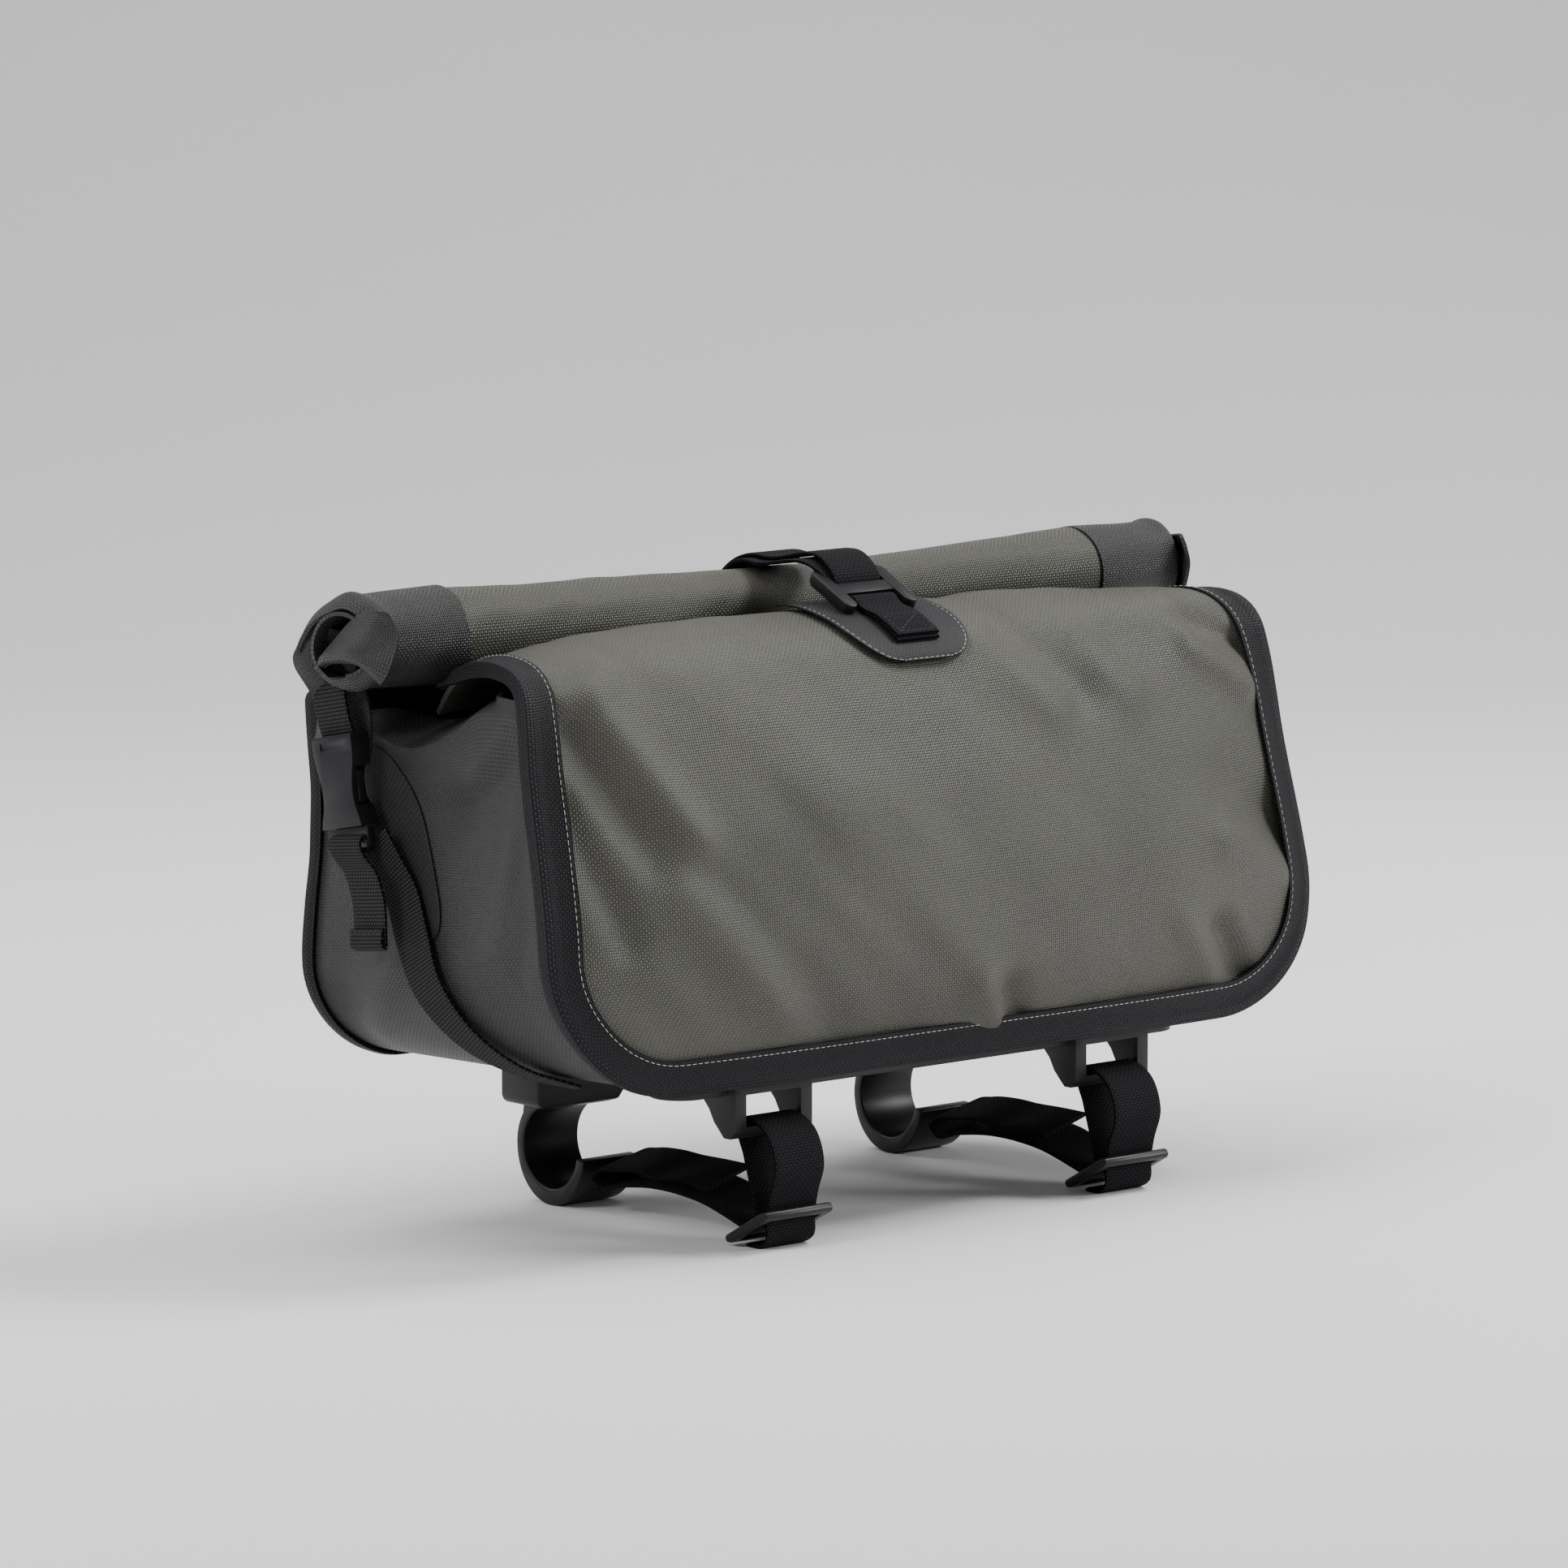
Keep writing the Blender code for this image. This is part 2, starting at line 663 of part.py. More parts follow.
def side_patch(name, side, mat):
    """Thin welded patch on the gusset behind the buckle."""
    grid = []
    for share, depth, spread in PATCH_LINE:
        middle = BODY_FRONT + BODY_DEPTH * depth
        line = []
        for across in (-1.0, -0.5, 0.0, 0.5, 1.0):
            y = middle + across * spread
            span = back_edge_y(share) - front_edge_y(share)
            swell = gusset_swell(share, (y - front_edge_y(share)) / span)
            line.append(end_point(side, share, y, GAP * 2 + swell))
        grid.append(line)
    return sheet(name, grid, side * 0.8, mat)


def place(piece, location, tilt):
    """Put a piece modelled round its own origin where it belongs, tilted about X."""
    piece.location = [c * MM for c in location]
    piece.rotation_euler = (tilt, 0.0, 0.0)
    return piece


def buckle_female(name, side, mat):
    """Female half of the side buckle: waisted body with side windows and a mouth at the top."""
    w = BUCKLE_WIDTH / 2
    h = BUCKLE_LENGTH / 2
    outline = ((-w, h), (w, h), (w * 0.94, h * 0.45), (w * 0.76, 0.0), (w * 0.80, -h * 0.55), (w, -h),
               (-w, -h), (-w * 0.80, -h * 0.55), (-w * 0.76, 0.0), (-w * 0.94, h * 0.45))
    t = BUCKLE_THICK / 2
    slot = ((-t * 0.45, -NARROW_WEB / 2 - 0.6, h - 6.0), (t * 0.45, NARROW_WEB / 2 + 0.6, h + 1.0))
    throat = ((-t * 0.5, -w * 0.62, -h - CUT_PAST), (t * 0.5, w * 0.62, -h + MALE_TONGUE + 1.0))
    piece = prism(name, outline, -t, t, "X", mat, bevel=1.0, cut=(slot, throat))
    return place(piece, (side * BUCKLE_X, BUCKLE_Y, BUCKLE_Z), -BUCKLE_TILT)


def buckle_male(name, side, mat):
    """Male half below, with its tongue in the female's throat and a slot for the webbing."""
    w = BUCKLE_WIDTH / 2
    h = BUCKLE_LENGTH / 2
    t = BUCKLE_THICK / 2 * 0.8
    low = -h - MALE_LENGTH
    tongue = -h + MALE_TONGUE
    outline = ((-w, -h - GAP), (-w * 0.56, -h - GAP), (-w * 0.56, tongue), (w * 0.56, tongue),
               (w * 0.56, -h - GAP), (w, -h - GAP), (w * 0.9, low), (-w * 0.9, low))
    web = NARROW_WEB / 2 + SLOT_CLEAR
    slot = ((-t - CUT_PAST, -web, low + 2.5), (t + CUT_PAST, web, low + 6.5))
    piece = prism(name, outline, -t * 0.5, t * 0.5, "X", mat, cut=(slot,))
    return place(piece, (side * BUCKLE_X, BUCKLE_Y, BUCKLE_Z), -BUCKLE_TILT)


def buckle_line(along):
    """Y and Z of a point along the buckle's tilted axis, measured up from its middle."""
    y = BUCKLE_Y + along * math.sin(BUCKLE_TILT)
    z = BUCKLE_Z + along * math.cos(BUCKLE_TILT)
    return y, z


def side_loop(name, side, mat):
    """Webbing from inside the open roll end down into the female buckle."""
    top = BUCKLE_LENGTH / 2
    points = []
    roll_bottom = (ROLL_Z - ROLL_RADIUS * 1.12 - BUCKLE_Z) / math.cos(BUCKLE_TILT)
    for along, x in ((top - 5.0, 0.0), (top + 4.0, 0.6), (roll_bottom, 1.6)):
        y, z = buckle_line(along)
        points.append((side * (BUCKLE_X + x), y, z))
    across = (0.0, math.cos(BUCKLE_TILT), -math.sin(BUCKLE_TILT))
    return strap(name, points, NARROW_WEB, across, mat, count=9)


SIDE_STRAP = (
    # height share, depth share of the strap's middle, clearance from the gusset
    (0.505, 0.690, 3.2),
    (0.42, 0.630, 1.6),
    (0.32, 0.575, 1.5),
    (0.225, 0.520, 1.5),
    (0.12, 0.440, 1.5),
    (0.045, 0.350, 1.5),
    (0.006, 0.270, 1.5),
)


def side_strap(name, side, mat):
    """Webbing from the male buckle down the gusset and round its bottom corner."""
    points = []
    for share, depth, clear in SIDE_STRAP:
        corner = float(corner_radius(depth))
        lift = min(1.0, share * SHOULDER_RISE / corner)
        turn = math.acos(1.0 - lift)
        x = half_length(share, corner) + (clear + WEB_THICK) * math.sin(turn)
        z = BASE_Z + SHOULDER_RISE * share - (clear + WEB_THICK) * math.cos(turn)
        points.append((side * x, BODY_FRONT + BODY_DEPTH * depth, z))
    slopes = np.gradient(np.array(points), axis=0)
    across = []
    for slope in slopes:
        slope = slope / np.linalg.norm(slope)
        way = np.array([0.0, 1.0, 0.0]) - slope * slope[1]
        across.append(tuple(way / np.linalg.norm(way)))
    return strap(name, points, NARROW_WEB, across, mat, count=20)


TAIL_LENGTH = 38.0
SIDE_TAIL = (
    # outwards, forwards, drop as a share of TAIL_LENGTH
    (0.0, 0.0, -0.07),
    (0.9, 3.0, 0.05),
    (0.6, 10.2, 0.21),
    (-0.2, 13.6, 0.42),
    (-0.8, 15.0, 1.0),
)


def side_tail(name, side, mat):
    """Free tail: wraps out through the male slot and hangs in front of the strap."""
    y, z = buckle_line(-BUCKLE_LENGTH / 2 - MALE_SLOT_MIDDLE)
    x = BUCKLE_X + BUCKLE_THICK * 0.2 + 2.2
    points = [(side * (x + out), y - ahead, z - TAIL_LENGTH * drop) for out, ahead, drop in SIDE_TAIL]
    return strap(name, points, NARROW_WEB, (0.0, 1.0, -0.12), mat, count=9)


def rail_front(mat):
    """Front rail with its two slotted brackets, one moulding."""
    half = RAIL_LENGTH / 2
    r = RAIL_WIDTH / 2
    ends = []
    for cx, start in ((half - r, -90.0), (-half + r, 90.0)):
        for turn in np.radians(np.linspace(start, start + 180.0, 7)):
            ends.append((cx + r * math.cos(turn), FRONT_RAIL_Y + r * math.sin(turn)))
    n = len(ends)
    verts = [(x, y, z) for z in (RAIL_BOTTOM, RAIL_TOP) for x, y in ends]
    faces = [tuple(range(n)), tuple(range(n, 2 * n))]
    faces += [(i, (i + 1) % n, n + (i + 1) % n, n + i) for i in range(n)]
    rail = mesh_object("rail_front", verts, faces, mat)
    for side in (-1, 1):
        bracket(rail, side)
    return rail


def bracket(rail, side):
    """Slotted front bracket: a plate on legs, joined to the rail, with a bar for the loop."""
    x = side * MOUNT_SPREAD
    w = BRACKET_WIDTH / 2
    back = BRACKET_FRONT + BRACKET_DEPTH
    top = RAIL_TOP - 1.0
    low = RAIL_BOTTOM - BRACKET_DROP
    leg = back + BRACKET_LEG
    outline = ((BRACKET_FRONT, top), (BRACKET_FRONT, low), (BRACKET_FRONT + BRACKET_PLATE, low),
               (back, low + BRACKET_HEEL), (leg, RAIL_BOTTOM), (leg, top))
    body = prism(f"bracket.{side}", outline, x - w, x + w, "X", None)
    s = BRACKET_SLOT / 2
    bar = low + BRACKET_BAR
    window = ((x - s, BRACKET_FRONT - CUT_PAST, bar), (x + s, leg + CUT_PAST, RAIL_BOTTOM + CUT_PAST / 2))
    pocket = ((x - s, BRACKET_FRONT + BRACKET_BAR, low - CUT_PAST), (x + s, leg + CUT_PAST, bar + CUT_PAST))
    subtract(body, window, f"window.{side}")
    subtract(body, pocket, f"pocket.{side}")
    body.hide_render = True
    body.display_type = "WIRE"
    add = rail.modifiers.new("bracket", "BOOLEAN")
    add.operation = "UNION"
    add.object = body


def rail_rear(mat):
    """Rear rail: a beam with two deep pads over the hooks."""
    half = REAR_RAIL_LENGTH / 2
    low = RAIL_TOP - REAR_PAD_DROP
    inner = half - REAR_PAD_LENGTH
    end = ((half - 1.5, RAIL_TOP), (half, RAIL_TOP - 2.0), (half, low + 3.0), (half - 3.0, low),
           (inner + 4.0, low), (inner, low + 5.0), (inner - 4.0, RAIL_TOP - RAIL_THICK - 1.0))
    outline = list(end[::-1]) + [(-x, z) for x, z in end]
    return prism("rail_rear", outline, HOOK_Y - RAIL_WIDTH / 2, HOOK_Y + RAIL_WIDTH / 2, "Y", mat, bevel=1.0)


def hook(name, side, mat):
    """Open C hook, thicker below, with its neck against the rear pad."""
    bore = HOOK_BORE / 2
    neck_top = RAIL_TOP - REAR_PAD_DROP - GAP
    outline = []
    for turn in np.radians(np.linspace(HOOK_OPEN_FROM, -360.0 + HOOK_OPEN_TO, 25)):
        outline.append((HOOK_Y + bore * math.cos(turn), HOOK_Z + bore * math.sin(turn)))
    for turn in np.radians(np.linspace(-360.0 + HOOK_OPEN_TO, 35.0, 19)):
        below = max(0.0, -math.sin(turn))
        r = HOOK_OUTER + HOOK_FOOT * below ** 2
        outline.append((HOOK_Y + r * math.cos(turn), HOOK_Z + r * math.sin(turn)))
    outline.append((HOOK_Y + HOOK_OUTER * 0.78, neck_top))
    outline.append((HOOK_Y - HOOK_OUTER * 0.45, neck_top))
    x = side * MOUNT_SPREAD
    return prism(name, outline, x - HOOK_WIDTH / 2, x + HOOK_WIDTH / 2, "X", mat, bevel=0.5)


def ladder_lock(name, side, mat):
    """Flat slotted buckle at the front foot, tilted with its back edge low."""
    reach = LOCK_LENGTH / 2
    t = LOCK_THICK / 2
    w = LOCK_WIDTH / 2
    outline = ((-reach, -t), (reach * 0.8, -t), (reach, -t * 0.4),
               (reach, t), (-reach * 0.9, t), (-reach, t * 0.5))
    s = WIDE_WEB / 2 + LOCK_SLOT_CLEAR
    deep = t + CUT_PAST
    front_slot = ((-s, -reach + LOCK_FRONT_SLOT[0], -deep), (s, -reach + LOCK_FRONT_SLOT[1], deep))
    back_slot = ((-s, reach - LOCK_BACK_SLOT[0], -deep), (s, reach - LOCK_BACK_SLOT[1], deep))
    piece = prism(name, outline, -w, w, "X", mat, bevel=0.0, cut=(front_slot, back_slot))
    return place(piece, (side * MOUNT_SPREAD, LOCK_Y, LOCK_Z), -LOCK_TILT)


def lock_point(side, along, up):
    """Point in the ladder lock's frame: along is towards its low back edge."""
    y = LOCK_Y + along * math.cos(LOCK_TILT) + up * math.sin(LOCK_TILT)
    z = LOCK_Z - along * math.sin(LOCK_TILT) + up * math.cos(LOCK_TILT)
    return side * MOUNT_SPREAD, y, z


def foot_loop(name, side, mat):
    """Webbing loop: under the lock on the floor, up its front slot, over the bracket bar, and back."""
    x = side * MOUNT_SPREAD
    floor = WEB_THICK / 2
    bar = RAIL_BOTTOM - BRACKET_DROP + BRACKET_BAR
    slot = -LOCK_LENGTH / 2 + sum(LOCK_FRONT_SLOT) / 2
    points = (
        (x, LOCK_Y + 5.0, floor),
        (x, LOCK_Y - 1.5, floor),
        (x, LOCK_Y - 6.0, floor + 2.8),
        lock_point(side, slot, 0.0),
        (x, LOCK_Y - 8.3, LOCK_Z + 12.0),
        (x, LOCK_Y - 12.0, LOCK_Z + 24.0),
        (x, LOCK_Y - 6.5, bar - 2.0),
        (x, BRACKET_FRONT + 0.5, bar + 2.6),
        (x, BRACKET_FRONT + 4.0, bar + 2.8),
        (x, BRACKET_FRONT + 6.8, bar - 1.5),
        (x, BRACKET_FRONT + 3.5, bar - 12.0),
        (x, LOCK_Y + 1.0, LOCK_Z + 10.0),
        (x, LOCK_Y - 0.5, LOCK_Z + 4.6),
    )
    return strap(name, points, WIDE_WEB, (1.0, 0.0, 0.0), mat, count=38)


FOOT_STRAP = (
    # share of the way from the lock to the hook, height above the floor, rise across the width
    (0.00, 7.6, 0.00),
    (0.12, 12.0, 0.10),
    (0.25, 16.0, 0.20),
    (0.40, 17.8, 0.22),
    (0.60, 18.0, 0.22),
    (0.80, 15.6, 0.20),
    (0.955, 12.8, 0.15),
)
TAIL_STRAP = (
    (0.985, 16.0, 0.18),
    (0.955, 19.6, 0.22),
    (0.85, 21.6, 0.24),
    (0.68, 22.6, 0.24),
    (0.45, 23.0, 0.24),
    (0.24, 22.2, 0.20),
)


def foot_strap(name, side, mat):
    """Webbing from the lock back to the hook's front, doubled back into a free tail."""
    x = side * MOUNT_SPREAD
    start = LOCK_Y + LOCK_LENGTH / 2 * 0.62
    reach = HOOK_Y - HOOK_OUTER - 1.6 - start
    table = FOOT_STRAP + TAIL_STRAP
    points = [(x, start + reach * share, z) for share, z, rise in table]
    across = [(1.0, 0.0, rise) for share, z, rise in table]
    return strap(name, points, WIDE_WEB, across, mat, count=26)


def roll_path(angle, lift):
    """Y and Z just over the roll's waist at an angle in degrees from +Y."""
    turn = math.radians(angle)
    r = ROLL_WAIST + lift
    return ROLL_Y + r * math.cos(turn), ROLL_Z + r * math.sin(turn)


STRAP_LIFT = 2.6
STRAP_OVER_ROLL = 1.2
STRAP_DOUBLE = 3.2


def centre_strap(mat):
    """Doubled webbing over the roll, from the back panel down to the hook buckle."""
    points = []
    for share in (0.72, 0.80, 0.88, 0.94):
        base, out = panel_at(back_point, 0.0, share)
        points.append(base + out * STRAP_LIFT)
    for angle in (8.0, 28.0, 48.0, 68.0, 88.0, 108.0):
        y, z = roll_path(angle, STRAP_LIFT + STRAP_OVER_ROLL)
        points.append((HOOK_BUCKLE_X * angle / 140.0, y, z))
    points.append(hook_point(0.0, HOOK_BUCKLE_LENGTH / 2 - 2.0, 2.5))
    points.append(hook_point(0.0, 5.2, 0.0))
    return strap("centre_strap", points, WIDE_WEB - 1.0, (1.0, 0.0, 0.0), mat, thick=STRAP_DOUBLE, count=28)


HOOK_BUCKLE_AHEAD = 49.5
HOOK_BUCKLE_Y = ROLL_Y - HOOK_BUCKLE_AHEAD
HOOK_BUCKLE_X = 8.5
HOOK_BUCKLE_LIFT = 7.5
HOOK_BUCKLE_TILT = math.radians(27.0)


def hook_point(across, along, up):
    """Point in the hook buckle's frame: along is up its slope towards the roll."""
    c = math.cos(HOOK_BUCKLE_TILT)
    s = math.sin(HOOK_BUCKLE_TILT)
    y = HOOK_BUCKLE_Y + along * c - up * s
    z = SHOULDER_Z + HOOK_BUCKLE_LIFT + along * s + up * c
    return HOOK_BUCKLE_X + across, y, z


def centre_hook(mat):
    """H-shaped hook buckle: two cheeks and one bar across."""
    reach = HOOK_BUCKLE_LENGTH / 2
    w = HOOK_BUCKLE_WIDTH / 2
    b = HOOK_BUCKLE_BAR
    outline = ((-w, -reach), (-w + b, -reach), (-w + b, -3.0), (w - b, -3.0), (w - b, -reach), (w, -reach),
               (w, reach), (w - b, reach), (w - b, 3.0), (-w + b, 3.0), (-w + b, reach), (-w, reach))
    verts = []
    for up in (-1.8, 1.8):
        for across, along in outline:
            verts.append(hook_point(across, along, up))
    n = len(outline)
    faces = [tuple(range(n)), tuple(range(n, 2 * n))]
    faces += [(i, (i + 1) % n, n + (i + 1) % n, n + i) for i in range(n)]
    piece = mesh_object("centre_hook", verts, faces, mat)
    edge = piece.modifiers.new("edge", "BEVEL")
    edge.width = 0.8 * MM
    edge.segments = 1
    edge.limit_method = "ANGLE"
    return piece


def centre_anchor(mat):
    """Short doubled webbing stitched on the patch, up to the hook buckle's bar."""
    points = []
    for share in (0.612, 0.640, 0.668):
        point, out = panel_at(front_point, HOOK_BUCKLE_X, share)
        points.append(point + out * (GAP * 4 + PATCH_THICK + 1.3))
    points.append(hook_point(0.0, -HOOK_BUCKLE_LENGTH / 2 + 2.0, -1.0))
    points.append(hook_point(0.0, -5.0, 0.0))
    return strap("centre_anchor", points, WIDE_WEB - 3.0, (1.0, 0.0, 0.0), mat, thick=2.6, count=8)


def build():
    """Build the whole bag and stand it on the floor round the origin."""
    for old in list(bpy.data.objects):
        bpy.data.objects.remove(old, do_unlink=True)
    olive = material("olive_cloth", (0.085, 0.088, 0.072), 0.5)
    dark = material("dark_cloth", (0.030, 0.029, 0.033), 0.7)
    tape = material("binding_tape", (0.020, 0.018, 0.022), 0.65)
    web = material("webbing", (0.016, 0.015, 0.018), 0.85)
    hard = material("black_plastic", (0.022, 0.021, 0.024), 0.45)
    front_panel(olive)
    back_panel(olive)
    base_panel(dark)
    binding("binding_front", front_point, -1.0, tape, FRONT_ROWS, top=0.95)
    binding("binding_back", back_point, 1.0, tape, BACK_ROWS, top=0.945)
    roll_top(olive)
    centre_patch(dark)
    centre_strap(web)
    centre_hook(hard)
    centre_anchor(web)
    rail_front(hard)
    rail_rear(hard)
    for word, side in (("left", -1), ("right", 1)):
        end_panel(f"end_panel_{word}", side, dark)
        roll_end(f"roll_end_{word}", side, dark)
        side_patch(f"side_patch_{word}", side, dark)
        side_loop(f"side_loop_{word}", side, web)
        buckle_female(f"buckle_female_{word}", side, hard)
        buckle_male(f"buckle_male_{word}", side, hard)
        side_strap(f"side_strap_{word}", side, web)
        side_tail(f"side_tail_{word}", side, web)
        hook(f"hook_{word}", side, hard)
        ladder_lock(f"ladder_lock_{word}", side, hard)
        foot_loop(f"foot_loop_{word}", side, web)
        foot_strap(f"foot_strap_{word}", side, web)
    settle()


def settle():
    """Parent all pieces to one empty that puts the floor middle of the bag at the origin."""
    bpy.context.view_layer.update()
    graph = bpy.context.evaluated_depsgraph_get()
    corners = []
    for piece in bpy.data.objects:
        if not piece.hide_render:
            seen = piece.evaluated_get(graph)
            corners += [seen.matrix_world @ v.co for v in seen.data.vertices]
    points = np.array(corners)
    low = points.min(axis=0)
    high = points.max(axis=0)
    bag = bpy.data.objects.new("bag", None)
    bpy.context.collection.objects.link(bag)
    for piece in list(bpy.data.objects):
        if piece is not bag and piece.parent is None:
            piece.parent = bag
    bag.location = (-(low[0] + high[0]) / 2, -(low[1] + high[1]) / 2, -low[2])


build()
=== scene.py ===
"""Rack trunk bag: fine cloth, tape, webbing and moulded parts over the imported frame.

Sizes are in millimetres, measured from the middle of the bag's floor print as the frame has it.
X runs along the bag, the front faces -Y, and Z is up from the floor.
"""
import math

import bmesh
import bpy
import numpy as np
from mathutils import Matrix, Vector


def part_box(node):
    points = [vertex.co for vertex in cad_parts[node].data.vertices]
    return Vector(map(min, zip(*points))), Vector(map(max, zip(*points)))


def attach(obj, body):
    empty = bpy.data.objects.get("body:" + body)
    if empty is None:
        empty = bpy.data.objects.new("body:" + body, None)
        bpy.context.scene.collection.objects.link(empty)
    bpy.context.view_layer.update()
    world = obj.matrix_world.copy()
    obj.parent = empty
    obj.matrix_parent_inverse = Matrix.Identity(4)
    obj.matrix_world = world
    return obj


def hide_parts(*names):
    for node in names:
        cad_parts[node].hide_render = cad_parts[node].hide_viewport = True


MM = 0.001


def cad_box(node):
    """Lowest and highest corner of a frame node, in millimetres."""
    low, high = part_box(node)
    return np.array(low) / MM, np.array(high) / MM


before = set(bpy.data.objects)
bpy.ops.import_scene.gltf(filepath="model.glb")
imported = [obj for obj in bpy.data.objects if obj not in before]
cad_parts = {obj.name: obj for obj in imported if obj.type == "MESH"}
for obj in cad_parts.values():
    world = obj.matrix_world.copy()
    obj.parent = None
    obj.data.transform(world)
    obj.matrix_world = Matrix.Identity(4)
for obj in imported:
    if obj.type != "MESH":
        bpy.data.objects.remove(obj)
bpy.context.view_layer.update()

# Driving sizes of the bag
BODY_LENGTH = 402.0
BODY_DEPTH = 156.0
SHOULDER_RISE = 170.0
FRONT_CORNER = 57.0
BACK_CORNER = 38.0
WALL = 2.0
GAP = 0.35
BINDING_WIDTH = 12.5
BINDING_THICK = 1.2
BASE_LENGTH = 270.0

# The roll
ROLL_LENGTH = 440.0
ROLL_SEAM_X = 169.0
ROLL_RADIUS = 22.0
ROLL_WAIST = 17.5
ROLL_WALL = 1.6
ROLL_START = -8.0
ROLL_TURNS = 1.75
ROLL_PITCH = 6.0
ROLL_SLANT = 6.0

# Webbing
WIDE_WEB = 25.0
NARROW_WEB = 20.0
WEB_THICK = 1.6

# Places read from the frame
RAIL_FRONT_LOW, RAIL_FRONT_HIGH = cad_box("rail_front")
BRACKET_FRONT = RAIL_FRONT_LOW[1]
RAIL_TOP = RAIL_FRONT_HIGH[2]
BASE_Z = RAIL_TOP + GAP
BODY_FRONT = BRACKET_FRONT - 6.0
SHOULDER_Z = BASE_Z + SHOULDER_RISE
ROLL_Y = BODY_FRONT + 115.0
ROLL_Z = SHOULDER_Z - 3.0
HALF = BODY_LENGTH / 2

# Outline seen from the front: height share of the shoulder, half length share of HALF
OUTLINE = (
    (0.00, 1.000),
    (0.22, 1.000),
    (0.40, 0.990),
    (0.60, 0.980),
    (0.80, 0.972),
    (0.92, 0.960),
    (1.00, 0.945),
)

# Front panel: share of SHOULDER_RISE for z, share of BODY_DEPTH back from the front for y,
# first along the side edge, then down the middle
FRONT = (
    # edge z, edge y, middle z, middle y
    (0.000, 0.012, 0.000, 0.000),
    (0.080, 0.018, 0.075, -0.030),
    (0.160, 0.032, 0.160, -0.048),
    (0.235, 0.050, 0.245, -0.050),
    (0.375, 0.076, 0.370, -0.036),
    (0.475, 0.100, 0.485, -0.010),
    (0.640, 0.144, 0.620, 0.030),
    (0.740, 0.166, 0.740, 0.082),
    (0.830, 0.184, 0.850, 0.140),
    (0.905, 0.208, 0.925, 0.210),
    (0.945, 0.255, 0.975, 0.310),
    (0.960, 0.330, 1.000, 0.420),
    (0.952, 0.425, 1.003, 0.500),
    (0.930, 0.510, 0.985, 0.570),
    (0.890, 0.580, 0.930, 0.615),
    (0.830, 0.650, 0.850, 0.660),
)

# Back edge of the gussets: height share of SHOULDER_RISE, depth share of BODY_DEPTH
BACK_EDGE = (
    (0.00, 0.960),
    (0.08, 0.985),
    (0.22, 1.010),
    (0.35, 1.010),
    (0.50, 1.000),
    (0.62, 1.006),
    (0.76, 1.028),
    (0.87, 1.050),
)

# Folds on the front panel: a line from (x, z) to (x, z) on the panel in millimetres from its
# bottom middle, the fold's half width, and how far it stands out, or in where negative
FRONT_FOLDS = (
    # x0, z0, x1, z1, width, height
    (-178.0, 140.0, -150.0, 92.0, 10.0, -3.2),
    (-162.0, 146.0, -128.0, 96.0, 9.0, 2.0),
    (-186.0, 112.0, -166.0, 60.0, 8.0, -2.0),
    (-150.0, 90.0, -96.0, 28.0, 12.0, 1.2),
    (-128.0, 84.0, -70.0, 20.0, 10.0, -1.0),
    (-60.0, 110.0, 0.0, 40.0, 24.0, 1.3),
    (22.0, 22.0, 32.0, 2.0, 7.0, -3.0),
    (6.0, 26.0, 22.0, 6.0, 9.0, 1.4),
    (142.0, 34.0, 156.0, 12.0, 8.0, -2.8),
    (120.0, 40.0, 146.0, 6.0, 10.0, 1.4),
    (150.0, 148.0, 178.0, 128.0, 7.0, 2.4),
    (158.0, 158.0, 182.0, 146.0, 5.0, -2.2),
    (160.0, 96.0, 190.0, 74.0, 9.0, -2.0),
    (150.0, 70.0, 188.0, 52.0, 9.0, 1.6),
    (60.0, 160.0, 84.0, 136.0, 9.0, -1.6),
    (40.0, 158.0, 66.0, 130.0, 10.0, 1.5),
    (92.0, 156.0, 110.0, 132.0, 9.0, 1.2),
    (-150.0, 158.0, -176.0, 150.0, 6.0, 1.8),
)


def column(table, index):
    """One column of a table as a list."""
    return [row[index] for row in table]


def smooth(xs, ys, x):
    """Smooth curve through the points (xs, ys), flat beyond its ends."""
    xs = np.asarray(xs, float)
    ys = np.asarray(ys, float)
    slope = np.gradient(ys, xs)
    x = np.clip(x, xs[0], xs[-1])
    i = np.clip(np.searchsorted(xs, x) - 1, 0, len(xs) - 2)
    h = xs[i + 1] - xs[i]
    t = (x - xs[i]) / h
    a = (1 + 2 * t) * (1 - t) ** 2 * ys[i] + t * (1 - t) ** 2 * h * slope[i]
    b = t * t * (3 - 2 * t) * ys[i + 1] + t * t * (t - 1) * h * slope[i + 1]
    return a + b


def through(points, count, values=None):
    """Points at even steps along a smooth curve through the given points, or values carried by them."""
    pts = np.asarray(points, float)
    steps = np.linalg.norm(np.diff(pts, axis=0), axis=1)
    along = np.concatenate([[0.0], np.cumsum(steps)])
    at = np.linspace(0.0, along[-1], count)
    read = pts if values is None else np.asarray(values, float)
    return np.stack([smooth(along, read[:, k], at) for k in range(read.shape[1])], axis=1)


def ease(t):
    """Smooth step from 0 to 1."""
    t = np.clip(t, 0.0, 1.0)
    return t * t * (3.0 - 2.0 * t)


def lattice_noise(u, v, seed):
    """Smooth noise between -1 and 1 with features about one unit wide."""
    table = np.random.default_rng(seed).uniform(-1.0, 1.0, (64, 64))
    i = np.floor(u).astype(int)
    j = np.floor(v).astype(int)
    s = ease(u - i)
    t = ease(v - j)
    top = table[i % 64, j % 64] * (1 - s) + table[(i + 1) % 64, j % 64] * s
    low = table[i % 64, (j + 1) % 64] * (1 - s) + table[(i + 1) % 64, (j + 1) % 64] * s
    return top * (1 - t) + low * t


